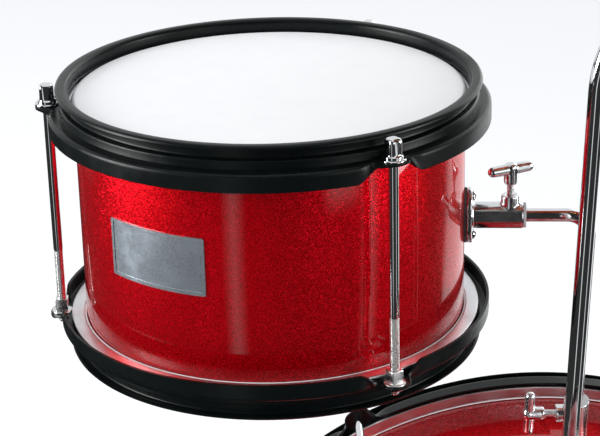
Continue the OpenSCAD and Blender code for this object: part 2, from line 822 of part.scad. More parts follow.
module tom_rod_nuts()
    color("silver") tom_frame() drum_end(tom_depth, -1)
        at_rods(tom_r, tom_rods, tom_rod_turn) rod_nut();

module tom_badge()
    color("slategray") tom_frame() rotate([0, 0, badge_bearing - arm_bearing])
        intersection() {
            rotate_extrude() translate([tom_r, badge_z - badge_h / 2]) square([badge_t, badge_h]);
            translate([0, -badge_w / 2, -tom_r]) cube([2 * tom_r, badge_w, 2 * tom_r]);
        }

module tom_bracket()
    color("silver") tom_bracket_frame()
        bracket(tom_r, 0, tom_plate, arm_d, tom_barrel_h, tom_boss_h, 180, 0);

module tom_bracket_gasket()
    color("dimgray") tom_bracket_frame() gasket(tom_r, 0, tom_plate, arm_d);

module tom_bracket_screws()
    color("silver") tom_bracket_frame() bracket_screw_set(tom_r, tom_plate);

module tom_bush() color("ivory") tom_bracket_frame() bush(tom_r, arm_d, tom_barrel_h);

module tom_wing_bolt()
    color("silver") tom_bracket_frame()
        wing_bolt_at(tom_r, arm_d, tom_boss_h, 180, 28);

// ---------------------------------------------------------------- the kit

bass_shell();
bass_wrap();
bass_batter_film();
bass_batter_flesh_hoop();
bass_front_film();
bass_front_flesh_hoop();
bass_batter_hoop();
bass_front_hoop();
bass_rod(0);  // bass_rod_1
bass_rod(1);  // bass_rod_2
bass_rod(2);  // bass_rod_3
bass_rod(3);  // bass_rod_4
bass_rod(4);  // bass_rod_5
bass_rod(5);  // bass_rod_6
bass_rod_washers();
bass_rod_nuts();
bracket_gaskets();
bracket_screws();
arm_bracket();
arm_bush();
arm_wing_bolt();
tom_arm();
cymbal_bracket();
cymbal_bush();
cymbal_wing_bolt();
cymbal_arm();
cymbal_rod();
cymbal_sleeve();
lower_felt();
cymbal();
upper_felt();
cymbal_wing_nut();
spur_bracket(-1);  // left_spur_bracket
spur(-1);  // left_spur
spur_tip(-1);  // left_spur_tip
spur_wing_bolt(-1);  // left_spur_wing_bolt
spur_bracket(1);  // right_spur_bracket
spur(1);  // right_spur
spur_tip(1);  // right_spur_tip
spur_wing_bolt(1);  // right_spur_wing_bolt
tom_shell();
tom_wrap();
tom_batter_film();
tom_batter_flesh_hoop();
tom_resonant_film();
tom_resonant_flesh_hoop();
tom_batter_hoop();
tom_resonant_hoop();
tom_rod(0);  // tom_rod_1
tom_rod(1);  // tom_rod_2
tom_rod(2);  // tom_rod_3
tom_rod_washers();
tom_rod_nuts();
tom_badge();
tom_bracket();
tom_bracket_gasket();
tom_bracket_screws();
tom_bush();
tom_wing_bolt();
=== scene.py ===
"""Visual model of a junior acoustic drum kit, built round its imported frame.

Sizes named here are millimetres in a sub-assembly's own frame; everything in the scene is metres.
"""

from __future__ import annotations

import json
import logging
import math
from dataclasses import dataclass, field
from enum import Enum
from typing import Callable, Iterable, Sequence

import bmesh
import bpy
from mathutils import Matrix, Vector, noise

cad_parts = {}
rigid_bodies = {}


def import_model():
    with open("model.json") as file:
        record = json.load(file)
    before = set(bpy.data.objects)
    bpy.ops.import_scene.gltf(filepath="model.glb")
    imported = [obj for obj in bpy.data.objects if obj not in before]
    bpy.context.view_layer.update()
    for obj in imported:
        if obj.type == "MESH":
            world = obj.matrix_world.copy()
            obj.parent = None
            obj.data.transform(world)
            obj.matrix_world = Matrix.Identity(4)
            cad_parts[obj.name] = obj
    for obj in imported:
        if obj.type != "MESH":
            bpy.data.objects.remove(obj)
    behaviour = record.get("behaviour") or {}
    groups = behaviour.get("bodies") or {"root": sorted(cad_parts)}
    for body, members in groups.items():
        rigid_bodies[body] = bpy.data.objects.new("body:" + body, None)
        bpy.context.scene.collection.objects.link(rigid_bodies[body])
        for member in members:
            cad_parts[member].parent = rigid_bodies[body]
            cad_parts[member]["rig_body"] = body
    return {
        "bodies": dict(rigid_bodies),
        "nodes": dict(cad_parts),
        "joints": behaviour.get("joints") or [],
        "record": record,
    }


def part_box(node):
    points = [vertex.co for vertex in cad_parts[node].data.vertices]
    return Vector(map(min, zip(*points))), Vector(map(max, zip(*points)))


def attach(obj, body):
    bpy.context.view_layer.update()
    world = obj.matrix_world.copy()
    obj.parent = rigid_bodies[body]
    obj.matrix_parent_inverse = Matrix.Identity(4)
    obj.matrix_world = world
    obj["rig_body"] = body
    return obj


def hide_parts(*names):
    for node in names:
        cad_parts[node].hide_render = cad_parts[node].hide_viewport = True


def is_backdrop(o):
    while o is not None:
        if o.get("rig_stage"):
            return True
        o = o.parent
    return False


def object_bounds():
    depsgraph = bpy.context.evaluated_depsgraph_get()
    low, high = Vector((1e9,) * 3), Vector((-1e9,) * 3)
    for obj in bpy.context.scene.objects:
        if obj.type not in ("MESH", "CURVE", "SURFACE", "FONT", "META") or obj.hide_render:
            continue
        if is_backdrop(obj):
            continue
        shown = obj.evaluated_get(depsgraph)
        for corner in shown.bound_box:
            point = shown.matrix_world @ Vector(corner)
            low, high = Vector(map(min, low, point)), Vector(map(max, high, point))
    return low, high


log = logging.getLogger("drum_kit")

MM = 0.001
TURN = 2 * math.pi
TOM_R, TOM_DEPTH, TOM_FIRST_ROD = 101.6, 131.0, 65.0
BASS_R, BASS_DEPTH = 203.2, 280.0
BADGE_BEARING, BADGE_RISE = -120.6, 5.4
Profile = Sequence[tuple[float, float]]
Socket = bpy.types.NodeSocket


# ---------------------------------------------------------------- places


def frame_at(origin: Vector, z_dir: Vector, x_dir: Vector) -> Matrix:
    """A millimetre frame at a point.

    Args:
        origin: The frame's origin, in metres.
        z_dir: Direction of its z axis.
        x_dir: Rough direction of its x axis.

    Returns:
        The matrix that takes millimetres in the frame to metres in the scene.
    """
    z = z_dir.normalized()
    x = (x_dir - z * x_dir.dot(z)).normalized()
    turn = Matrix((x, z.cross(x), z)).transposed().to_4x4()
    return Matrix.Translation(origin) @ turn @ Matrix.Scale(MM, 4)


def moved(frame: Matrix, x: float = 0.0, y: float = 0.0, z: float = 0.0) -> Matrix:
    """The frame moved by millimetres along its own axes."""
    return frame @ Matrix.Translation((x, y, z))


def turned(frame: Matrix, degrees: float, axis: str = "Z") -> Matrix:
    """The frame turned about one of its own axes."""
    return frame @ Matrix.Rotation(math.radians(degrees), 4, axis)


class Kit:
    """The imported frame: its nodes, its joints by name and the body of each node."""

    def __init__(self, frame: dict) -> None:
        """Keeps the frame's nodes and joints."""
        self.nodes: dict[str, bpy.types.Object] = frame["nodes"]
        self.joints: dict[str, dict] = {j["name"]: j for j in frame["joints"]}
        self.body_of: dict[str, str] = {
            name: piece["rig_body"] for name, piece in self.nodes.items()
        }

    def pos(self, joint: str) -> Vector:
        """Where a hinge stands, in metres."""
        return Vector(self.joints[joint]["pos_m"])

    def axis(self, joint: str) -> Vector:
        """A joint's direction."""
        return Vector(self.joints[joint]["axis"]).normalized()

    def middle(self, joints: Iterable[str]) -> Vector:
        """The mean place of several hinges."""
        places = [self.pos(name) for name in joints]
        return sum(places, Vector()) / len(places)


# ---------------------------------------------------------------- shapes


def arc_points(centre: tuple[float, float], radius: float, start: float, end: float,
               steps: int) -> list:
    """Points on an arc of a profile.

    Args:
        centre: The arc's centre.
        radius: Its radius.
        start: First angle in degrees.
        end: Last angle in degrees.
        steps: Number of chords.

    Returns:
        The points from start to end.
    """
    turn = [math.radians(start + (end - start) * i / steps) for i in range(steps + 1)]
    return [(centre[0] + radius * math.cos(a), centre[1] + radius * math.sin(a)) for a in turn]


def softened(points: Profile, radius: float, steps: int = 3, closed: bool = False) -> list:
    """A profile with its corners rounded.

    Args:
        points: The profile's corners.
        radius: Radius of every corner, less where a side is short.
        steps: Chords in each corner.
        closed: Whether the last point joins the first.

    Returns:
        The rounded profile.
    """
    corners = [Vector(p) for p in points]
    count, rounded = len(corners), []
    for i, corner in enumerate(corners):
        if not closed and i in (0, count - 1):
            rounded.append(tuple(corner))
            continue
        before, after = corners[i - 1] - corner, corners[(i + 1) % count] - corner
        reach = min(radius, before.length * 0.45, after.length * 0.45)
        start, end = corner + before.normalized() * reach, corner + after.normalized() * reach
        for k in range(steps + 1):
            t = k / steps
            rounded.append(tuple(start * (1 - t) ** 2 + corner * 2 * t * (1 - t) + end * t * t))
    return rounded


class Shape:
    """A mesh in the making, in millimetres, in a frame of its own."""

    def __init__(self) -> None:
        """Starts with nothing."""
        self.bm = bmesh.new()

    def _wire(self, points: Iterable[Vector], closed: bool = False) -> list:
        """A chain of vertices and the edges between them."""
        verts = [self.bm.verts.new(p) for p in points]
        edges = [self.bm.edges.new(pair) for pair in zip(verts, verts[1:])]
        if closed:
            edges.append(self.bm.edges.new((verts[-1], verts[0])))
        return verts + edges

    def _place(self, fresh: set, at: Matrix | None) -> None:
        """Moves what isn't in the fresh set of old vertices."""
        if at is not None:
            bmesh.ops.transform(self.bm, matrix=at,
                                verts=[v for v in self.bm.verts if v not in fresh])

    def lathe(self, profile: Profile, steps: int = 64, at: Matrix | None = None,
              closed: bool = False, angle: float = TURN) -> "Shape":
        """Turns a profile of (radius, height) about z.

        Args:
            profile: The points, from the axis or a bore outwards.
            steps: Facets round the axis.
            at: Where the turned shape goes.
            closed: Whether the profile is a closed section.
            angle: How far it turns.

        Returns:
            This shape.
        """
        old = set(self.bm.verts)
        wire = self._wire([Vector((r, 0, z)) for r, z in profile], closed)
        bmesh.ops.spin(self.bm, geom=wire, cent=(0, 0, 0), axis=(0, 0, 1), dvec=(0, 0, 0),
                       angle=angle, steps=steps, use_merge=angle == TURN, use_duplicate=False)
        new = [v for v in self.bm.verts if v not in old]
        bmesh.ops.remove_doubles(self.bm, verts=new, dist=1e-4)
        self._place(old, at)
        return self

    def thread(self, radius: float, depth: float, pitch: float, turns: float, start: float,
               steps: int = 14, at: Matrix | None = None) -> "Shape":
        """Cuts a V thread along z.

        Args:
            radius: Radius over the crests.
            depth: Depth of the groove.
            pitch: Rise in one turn.
            turns: Number of turns.
            start: Height of the first turn.
            steps: Facets in one turn.
            at: Where the thread goes.

        Returns:
            This shape.
        """
        old = set(self.bm.verts)
        tooth = [(radius - depth, 0.0), (radius, 0.45 * pitch), (radius, 0.55 * pitch),
                 (radius - depth, pitch)]
        wire = self._wire([Vector((r, 0, start + z)) for r, z in tooth])
        whole = max(1, round(turns * steps))
        bmesh.ops.spin(self.bm, geom=wire, cent=(0, 0, 0), axis=(0, 0, 1),
                       dvec=(0, 0, pitch / steps), angle=TURN * whole / steps, steps=whole,
                       use_merge=False, use_duplicate=False)
        new = [v for v in self.bm.verts if v not in old]
        bmesh.ops.remove_doubles(self.bm, verts=new, dist=1e-3)
        self._place(old, at)
        return self

    def prism(self, across: float, height: float, at: Matrix | None = None, sides: int = 4,
              corner: float = 0.5, dome: float = 0.0) -> "Shape":
        """A bevelled prism that stands on z = 0.

        Args:
            across: Width across its flats.
            height: Its height.
            at: Where it goes.
            sides: Number of sides.
            corner: Width of its bevels.
            dome: How far its top rises in the middle.

        Returns:
            This shape.
        """
        old = set(self.bm.verts)
        radius = across / 2 / math.cos(math.pi / sides)
        made = bmesh.ops.create_cone(self.bm, cap_ends=True, segments=sides, radius1=radius,
                                     radius2=radius, depth=height)
        stand = Matrix.Translation((0, 0, height / 2)) @ Matrix.Rotation(math.pi / sides, 4, "Z")
        bmesh.ops.transform(self.bm, verts=made["verts"], matrix=stand)
        edges = list({e for v in made["verts"] for e in v.link_edges})
        bmesh.ops.bevel(self.bm, geom=edges, offset=corner, offset_type="OFFSET", affect="EDGES",
                        segments=3, profile=0.5, material=-1)
        if dome:
            top = [f for f in self.bm.faces if f.verts[0] not in old and f.normal.z > 0.99
                   and f.calc_center_median().z > height - 1e-3]
            for share in (0.7, 0.3):
                bmesh.ops.inset_region(self.bm, faces=top, thickness=across * 0.16)
                bmesh.ops.translate(self.bm, verts=list({v for f in top for v in f.verts}),
                                    vec=(0, 0, dome * share))
        self._place(old, at)
        return self

    def rod(self, radius: float, runs: Sequence[tuple], segments: int = 48,
            chamfer: float = 0.8) -> "Shape":
        """A round rod along z that is bent in its xz plane.

        Args:
            radius: The rod's radius.
            runs: ("run", length) for a straight and ("bend", radius, degrees) for a bend, which
                turns towards +x when its angle is positive.
            segments: Facets round the rod.
            chamfer: How far each end tapers.

        Returns:
            This shape.
        """
        made = bmesh.ops.create_circle(self.bm, cap_ends=False, segments=segments,
                                       radius=radius - chamfer)
        loop: list = list({e for v in made["verts"] for e in v.link_edges})
        heading, spot = 0.0, Vector((0, 0, 0))

        def push(length: float, grow: float = 0.0) -> None:
            nonlocal loop, spot
            out = bmesh.ops.extrude_edge_only(self.bm, edges=loop)["geom"]
            verts = [g for g in out if isinstance(g, bmesh.types.BMVert)]
            loop = [g for g in out if isinstance(g, bmesh.types.BMEdge)]
            if grow:
                before = radius - chamfer if grow > 0 else radius
                size = (before + grow) / before
                flat = Matrix.Translation(spot) @ Matrix.Rotation(heading, 4, "Y")
                shrink = Matrix.Diagonal((size, size, 1, 1))
                bmesh.ops.transform(self.bm, verts=verts, matrix=flat @ shrink @ flat.inverted())
            step = Matrix.Rotation(heading, 3, "Y") @ Vector((0, 0, length))
            bmesh.ops.translate(self.bm, verts=verts, vec=step)
            spot = spot + step

        push(chamfer, chamfer)
        for run in runs:
            if run[0] == "run":
                push(run[1])
                continue
            bend_r, degrees = run[1], run[2]
            side = Matrix.Rotation(heading, 3, "Y") @ Vector((math.copysign(bend_r, degrees), 0, 0))
            verts = list({v for e in loop for v in e.verts})
            out = bmesh.ops.spin(self.bm, geom=verts + loop, cent=spot + side,
                                 axis=(0, math.copysign(1, degrees), 0), dvec=(0, 0, 0),
                                 angle=math.radians(abs(degrees)),
                                 steps=max(8, int(abs(degrees) / 2.5)),
                                 use_merge=False, use_duplicate=False)["geom_last"]
            spot = spot + side - Matrix.Rotation(math.radians(degrees), 3, "Y") @ side
            heading += math.radians(degrees)
            loop = [g for g in out if isinstance(g, bmesh.types.BMEdge)]
        push(chamfer, -chamfer)
        bmesh.ops.holes_fill(self.bm, edges=self.bm.edges, sides=0)
        return self

    def peg(self, inner_r: float, outer_r: float, length: float, at: Matrix) -> "Shape":
        """A tapered peg with a round tip, from the origin along z."""
        tip = arc_points((0, length - outer_r), outer_r, 0, 90, 6)
        return self.lathe([(0, -1), (inner_r, 0)] + tip[:-1] + [(0, length)], 24, at)

    def spread(self, warp: Callable[[Vector], Vector]) -> "Shape":
        """Moves every vertex as the warp says."""
        for v in self.bm.verts:
            v.co = warp(v.co)
        return self

    def done(self, name: str, frame: Matrix) -> bpy.types.Object:
        """Closes the mesh and puts it in the scene.

        Args:
            name: The piece's name.
            frame: Its frame, from millimetres to metres.

        Returns:
            The new object, at the scene's origin.
        """
        bmesh.ops.transform(self.bm, matrix=frame, verts=self.bm.verts)
        return shade(linked(name, self._mesh(name)))

    def stamp(self) -> "Stamp":
        """Keeps the mesh, so that copies of it can be placed."""
        return Stamp(self._mesh("stamp"))

    def _mesh(self, name: str) -> bpy.types.Mesh:
        """The finished mesh, with its faces turned outwards."""
        bmesh.ops.recalc_face_normals(self.bm, faces=self.bm.faces)
        return as_mesh(self.bm, name)


@dataclass(frozen=True)
class Stamp:
    """A finished mesh in millimetres that is placed several times."""

    mesh: bpy.types.Mesh

    def place(self, name: str, frame: Matrix) -> bpy.types.Object:
        """Places a copy.

        Args:
            name: The copy's name.
            frame: Its frame, from millimetres to metres.

        Returns:
            The new object, at the scene's origin.
        """
        mesh = self.mesh.copy()
        mesh.name = name
        mesh.transform(frame)
        return shade(linked(name, mesh))


def as_mesh(bm: bmesh.types.BMesh, name: str) -> bpy.types.Mesh:
    """Moves what was modelled into a new mesh."""
    mesh = bpy.data.meshes.new(name)
    bm.to_mesh(mesh)
    bm.free()
    return mesh


def linked(name: str, data: bpy.types.ID) -> bpy.types.Object:
    """A new object in the scene."""
    thing = bpy.data.objects.new(name, data)
    bpy.context.scene.collection.objects.link(thing)
    return thing


def smooth(piece: bpy.types.Object) -> bpy.types.Object:
    """Shades every face of a piece smooth."""
    for polygon in piece.data.polygons:
        polygon.use_smooth = True
    return piece


def shade(piece: bpy.types.Object, degrees: float = 38.0) -> bpy.types.Object:
    """Shades a piece smooth, apart from edges sharper than the angle."""
    smooth(piece).data.set_sharp_from_angle(angle=math.radians(degrees))
    return piece


def settle(piece: bpy.types.Object) -> None:
    """Applies every modifier of a piece."""
    graph = bpy.context.evaluated_depsgraph_get()
    old = piece.data
    piece.data = bpy.data.meshes.new_from_object(piece.evaluated_get(graph))
    piece.modifiers.clear()
    bpy.data.meshes.remove(old)
    shade(piece)


def fuse(piece: bpy.types.Object, voxel: float, rounds: int = 6) -> bpy.types.Object:
    """Melts the closed shells of a piece into one casting with soft edges.

    Args:
        piece: The piece.
        voxel: Grain of the melted mesh in millimetres.
        rounds: Passes of smoothing.

    Returns:
        The piece.
    """
    melt = piece.modifiers.new("melt", "REMESH")
    melt.mode, melt.voxel_size, melt.adaptivity = "VOXEL", voxel * MM, 0.0
    settle(piece)
    bm = bmesh.new()
    bm.from_mesh(piece.data)
    for _ in range(rounds):
        bmesh.ops.smooth_vert(bm, verts=bm.verts, factor=0.5, use_axis_x=True, use_axis_y=True,
                              use_axis_z=True)
    bm.to_mesh(piece.data)
    bm.free()
    return smooth(piece)


def cast_copy(node: bpy.types.Object, name: str, voxel: float) -> bpy.types.Object:
    """A soft-edged casting in the shape of a frame node."""
    bm = bmesh.new()
    bm.from_mesh(node.data)
    bmesh.ops.remove_doubles(bm, verts=bm.verts, dist=1e-6)
    return fuse(linked(name, as_mesh(bm, name)), voxel)


# ---------------------------------------------------------------- shader groups


def feed(tree: bpy.types.NodeTree, socket: Socket, value: object) -> None:
    """Links a socket to another one, or gives it a plain value."""
    if isinstance(value, bpy.types.NodeSocket):
        tree.links.new(value, socket)
    else:
        socket.default_value = value


class Graph:
    """Short ways to wire a node tree."""

    def __init__(self, tree: bpy.types.NodeTree) -> None:
        """Keeps the tree."""
        self.tree = tree

    def add(self, kind: str, values: dict | None = None, **settings: object) -> bpy.types.Node:
        """A new node.

        Args:
            kind: Blender's name for the node's type.
            values: Socket name or number to a value or to a socket that feeds it.
            settings: The node's own settings.

        Returns:
            The node.
        """
        node = self.tree.nodes.new(kind)
        for key, value in settings.items():
            setattr(node, key, value)
        for key, value in (values or {}).items():
            feed(self.tree, node.inputs[key], value)
        return node

    def math(self, operation: str, a: object, b: object = 0.0, clamp: bool = False) -> Socket:
        """The result of a Math node."""
        node = self.add("ShaderNodeMath", {0: a, 1: b}, operation=operation, use_clamp=clamp)
        return node.outputs[0]

    def ramp(self, value: Socket, low: float, high: float, to_low: float = 0.0,
             to_high: float = 1.0) -> Socket:
        """A value taken smoothly from one range to another."""
        return self.add("ShaderNodeMapRange", {"Value": value, "From Min": low, "From Max": high,
                                               "To Min": to_low, "To Max": to_high},
                        interpolation_type="SMOOTHSTEP").outputs["Result"]

    def blend(self, share: object, a: object, b: object) -> Socket:
        """A colour between two colours."""
        mix = self.add("ShaderNodeMix", data_type="RGBA")
        for key, value in (("Factor", share), (6, a), (7, b)):
            feed(self.tree, mix.inputs[key], value)
        return mix.outputs[2]

    def noise(self, vector: Socket, scale: object, detail: float = 4.0, rough: float = 0.55) -> Socket:
        """Noise from 0 to 1."""
        return self.add("ShaderNodeTexNoise", {"Vector": vector, "Scale": scale, "Detail": detail,
                                               "Roughness": rough}).outputs["Fac"]


def new_group(name: str, inputs: dict, outputs: dict) -> tuple[Graph, bpy.types.Node, bpy.types.Node]:
    """A shader node group.

    Args:
        name: Its name.
        inputs: Socket name to (type, value or None).
        outputs: Socket name to type.

    Returns:
        The group's graph, its input node and its output node.
    """
    tree = bpy.data.node_groups.new(name, "ShaderNodeTree")
    for label, (kind, value) in inputs.items():
        socket = tree.interface.new_socket(name=label, in_out="INPUT",
                                           socket_type="NodeSocket" + kind)
        if value is not None:
            socket.default_value = value
    for label, kind in outputs.items():
        tree.interface.new_socket(name=label, in_out="OUTPUT", socket_type="NodeSocket" + kind)
    graph = Graph(tree)
    return graph, graph.add("NodeGroupInput"), graph.add("NodeGroupOutput")


class Effect(Enum):
    """The shader groups that several finishes share."""

    HANDLING = "handling_marks"
    EDGES = "worn_and_highlit_edges"
    FLAKES = "glitter_flakes"
    # Pale convex edges: rubbed wear and a painted edge highlight.
    GRAIN = "directional_grain"
    DUST = "settled_dust"
    PEEL = "orange_peel"


def build_effects() -> None:
    """Makes every shared shader group once."""
    vec, num, col = ("Vector", None), "Float", "Color"
    g, i, o = new_group(Effect.HANDLING.value,
                        {"Vector": vec, "Scale": (num, 40.0), "Amount": (num, 0.1), "Base": (num, 0.2)},
                        {"Roughness": num, "Mask": num})
    smear = g.noise(i.outputs["Vector"], i.outputs["Scale"], 6.0, 0.62)
    fine = g.noise(i.outputs["Vector"], g.math("MULTIPLY", i.outputs["Scale"], 9.0), 3.0)
    both = g.math("ADD", g.math("MULTIPLY", smear, 0.75), g.math("MULTIPLY", fine, 0.25))
    mask = g.ramp(both, 0.42, 0.68)
    rough = g.math("MULTIPLY_ADD", mask, i.outputs["Amount"])
    rough.node.inputs[2].default_value = 0.0
    total = g.math("ADD", rough, i.outputs["Base"], clamp=True)
    g.tree.links.new(total, o.inputs["Roughness"])
    g.tree.links.new(mask, o.inputs["Mask"])

    # Convex-edge mask that lightens edges: rubbed wear, and a painted highlight along the edges.
    g, i, o = new_group(Effect.EDGES.value,
                        {"Vector": vec, "Sharpness": (num, 0.52), "Spread": (num, 0.04),
                         "Breakup": (num, 300.0)}, {"Mask": num})
    point = g.add("ShaderNodeNewGeometry").outputs["Pointiness"]
    upper = g.math("ADD", i.outputs["Sharpness"], i.outputs["Spread"])
    edge = g.add("ShaderNodeMapRange", {"Value": point, "From Min": i.outputs["Sharpness"],
                                        "From Max": upper}).outputs["Result"]
    broken = g.ramp(g.noise(i.outputs["Vector"], i.outputs["Breakup"]), 0.38, 0.62)
    g.tree.links.new(g.math("MULTIPLY", edge, broken, clamp=True), o.inputs["Mask"])

    g, i, o = new_group(
        Effect.FLAKES.value,
        {"Vector": vec, "Scale": (num, 900.0), "Ground": (col, (0.3, 0, 0, 1)),
         "Flake": (col, (1, 0.1, 0.1, 1)), "Deep": (col, (0.1, 0, 0, 1)), "Tilt": (num, 0.5)},
        {"Color": col, "Mask": num, "Normal": "Vector", "Roughness": num})
    cells, small = (
        g.add("ShaderNodeTexVoronoi", {"Vector": i.outputs["Vector"], "Scale": scale}, feature="F1")
        for scale in (i.outputs["Scale"], g.math("MULTIPLY", i.outputs["Scale"], 2.1)))
    pick = g.add("ShaderNodeSeparateColor", {"Color": cells.outputs["Color"]})
    pick_small = g.add("ShaderNodeSeparateColor", {"Color": small.outputs["Color"]})
    bright = g.ramp(pick.outputs[0], 0.62, 1.0)
    spark = g.math("MAXIMUM", bright, g.ramp(pick_small.outputs[1], 0.82, 1.0))
    dark = g.ramp(pick.outputs[2], 0.75, 0.2)
    ground = g.blend(dark, i.outputs["Deep"], i.outputs["Ground"])
    g.tree.links.new(g.blend(spark, ground, i.outputs["Flake"]), o.inputs["Color"])
    g.tree.links.new(spark, o.inputs["Mask"])
    lean = g.add("ShaderNodeVectorMath", {0: cells.outputs["Color"], 1: (0.5, 0.5, 0.5)},
                 operation="SUBTRACT")
    lean = g.add("ShaderNodeVectorMath", {0: lean.outputs[0]}, operation="SCALE")
    g.tree.links.new(i.outputs["Tilt"], lean.inputs["Scale"])
    normal = g.add("ShaderNodeNewGeometry").outputs["Normal"]
    leaned = g.add("ShaderNodeVectorMath", {0: normal, 1: lean.outputs[0]}, operation="ADD")
    unit = g.add("ShaderNodeVectorMath", {0: leaned.outputs[0]}, operation="NORMALIZE")
    g.tree.links.new(unit.outputs[0], o.inputs["Normal"])
    g.tree.links.new(g.ramp(pick.outputs[1], 0.0, 1.0, 0.17, 0.34), o.inputs["Roughness"])

    g, i, o = new_group(Effect.GRAIN.value,
                        {"Vector": vec, "Along": ("Vector", (1, 60, 1)), "Scale": (num, 60.0)},
                        {"Mask": num})
    drawn = g.add("ShaderNodeVectorMath", {0: i.outputs["Vector"], 1: i.outputs["Along"]},
                  operation="MULTIPLY")
    long = g.noise(drawn.outputs[0], i.outputs["Scale"], 5.0, 0.7)
    g.tree.links.new(g.ramp(long, 0.3, 0.7), o.inputs["Mask"])

    g, i, o = new_group(Effect.DUST.value,
                        {"Vector": vec, "Scale": (num, 25.0), "Amount": (num, 0.3)}, {"Mask": num})
    facing = g.add("ShaderNodeNewGeometry").outputs["Normal"]
    up = g.add("ShaderNodeSeparateXYZ", {0: facing}).outputs["Z"]
    lying = g.ramp(up, 0.35, 0.95)
    patch = g.ramp(g.noise(i.outputs["Vector"], i.outputs["Scale"], 7.0, 0.7), 0.35, 0.75)
    dusty = g.math("MULTIPLY", lying, patch)
    g.tree.links.new(g.math("MULTIPLY", dusty, i.outputs["Amount"], clamp=True), o.inputs["Mask"])

    g, i, o = new_group(Effect.PEEL.value, {"Vector": vec, "Scale": (num, 500.0)}, {"Height": num})
    fine = g.noise(i.outputs["Vector"], i.outputs["Scale"], 2.0, 0.5)
    wide = g.noise(i.outputs["Vector"], g.math("MULTIPLY", i.outputs["Scale"], 0.3), 2.0, 0.5)
    g.tree.links.new(g.math("ADD", g.math("MULTIPLY", fine, 0.6), g.math("MULTIPLY", wide, 0.4)),
                     o.inputs["Height"])


class Coat(Graph):
    """A material in the making, with its shader and its place on the object."""

    def __init__(self, name: str) -> None:
        """Starts with a bare shader."""
        self.material = bpy.data.materials.new(name)
        self.material.use_nodes = True
        super().__init__(self.material.node_tree)
        self.shader = next(n for n in self.tree.nodes if n.type == "BSDF_PRINCIPLED")
        self.point: Socket = self.add("ShaderNodeTexCoord").outputs["Object"]

    def effect(self, effect: Effect, **values: object) -> bpy.types.Node:
        """A shared group, fed with the object's coordinates."""
        node = self.add("ShaderNodeGroup")
        node.node_tree = bpy.data.node_groups[effect.value]
        values.setdefault("Vector", self.point)
        for key, value in values.items():
            feed(self.tree, node.inputs[key], value)
        return node

    def local(self, frame: Matrix) -> Socket:
        """Coordinates in metres in a sub-assembly's own frame.

        Args:
            frame: The sub-assembly's frame.

        Returns:
            The coordinates.
        """
        back = (frame @ Matrix.Scale(1 / MM, 4)).inverted()
        node = self.add("ShaderNodeMapping", {"Vector": self.point, "Location": back.translation,
                                              "Rotation": back.to_euler()}, vector_type="POINT")
        return node.outputs[0]

    def from_axis(self, local: Socket) -> Socket:
        """Distance in metres from the z axis of local coordinates."""
        flat = self.add("ShaderNodeVectorMath", {0: local, 1: (1, 1, 0)}, operation="MULTIPLY")
        length = self.add("ShaderNodeVectorMath", {0: flat.outputs[0]}, operation="LENGTH")
        return length.outputs["Value"]

    def set(self, **values: object) -> "Coat":
        """Sets or feeds the shader's sockets, whose names have _ for spaces."""
        for key, value in values.items():
            feed(self.tree, self.shader.inputs[key.replace("_", " ")], value)
        return self

    def bump(self, height: Socket, strength: float, distance: float) -> Socket:
        """A bumped normal.

        Args:
            height: Height from 0 to 1.
            strength: Strength of the bump.
            distance: Its depth in millimetres.

        Returns:
            The normal.
        """
        node = self.add("ShaderNodeBump", {"Height": height, "Strength": strength,
                                           "Distance": distance * MM})
        return node.outputs[0]


# ---------------------------------------------------------------- finishes


def rgb(red: float, green: float, blue: float) -> tuple[float, float, float, float]:
    """An opaque colour."""
    return (red, green, blue, 1.0)


@dataclass(frozen=True)
class Finish:
    """A finish and the record's slot it belongs to."""

    name: str
    slot: str

    def material(self) -> bpy.types.Material:
        """The finish as a material, made once."""
        name = f"{self.name}_finish"
        return bpy.data.materials.get(name) or self.paint(Coat(name)).material

    def paint(self, coat: Coat) -> Coat:
        """Paints the bare shader."""
        raise NotImplementedError


@dataclass(frozen=True)
class SparkleWrap(Finish):
    """Glitter film under a clear gloss."""

    ground: tuple = rgb(0.42, 0.0, 0.0012)
    deep: tuple = rgb(0.22, 0.0, 0.0006)
    flake: tuple = rgb(1.0, 0.004, 0.02)
    edge: tuple = rgb(1.0, 0.05, 0.08)
    flake_scale: float = 3400.0

    def paint(self, coat: Coat) -> Coat:
        """Flakes that each tilt their own way, below a smooth coat."""
        flakes = coat.effect(Effect.FLAKES, Scale=self.flake_scale, Ground=self.ground,
                             Flake=self.flake, Deep=self.deep, Tilt=0.38)
        marks = coat.effect(Effect.HANDLING, Scale=14.0, Amount=0.08, Base=0.0)
        rough = coat.math("ADD", flakes.outputs["Roughness"], marks.outputs["Roughness"], clamp=True)
        return coat.set(Base_Color=flakes.outputs["Color"], Metallic=0.62, Roughness=rough,
                        Specular_IOR_Level=0.15, Specular_Tint=self.edge,
                        Normal=flakes.outputs["Normal"], Coat_Weight=0.8, Coat_Roughness=0.035,
                        Coat_IOR=1.5)


@dataclass(frozen=True)
class HeadFilm(Finish):
    """White polyester film."""

    tint: tuple = rgb(0.92, 0.93, 0.945)
    shadow: tuple = rgb(0.82, 0.83, 0.86)

    def paint(self, coat: Coat) -> Coat:
        """A faint cloudiness and light dust on smooth white."""
        marks = coat.effect(Effect.HANDLING, Scale=9.0, Amount=0.14, Base=0.3)
        dust = coat.effect(Effect.DUST, Scale=60.0, Amount=0.25)
        colour = coat.blend(dust.outputs["Mask"], self.tint, self.shadow)
        peel = coat.effect(Effect.PEEL, Scale=260.0)
        return coat.set(Base_Color=colour, Roughness=marks.outputs["Roughness"], Specular_IOR_Level=0.45,
                        Normal=coat.bump(peel.outputs["Height"], 0.12, 0.05))


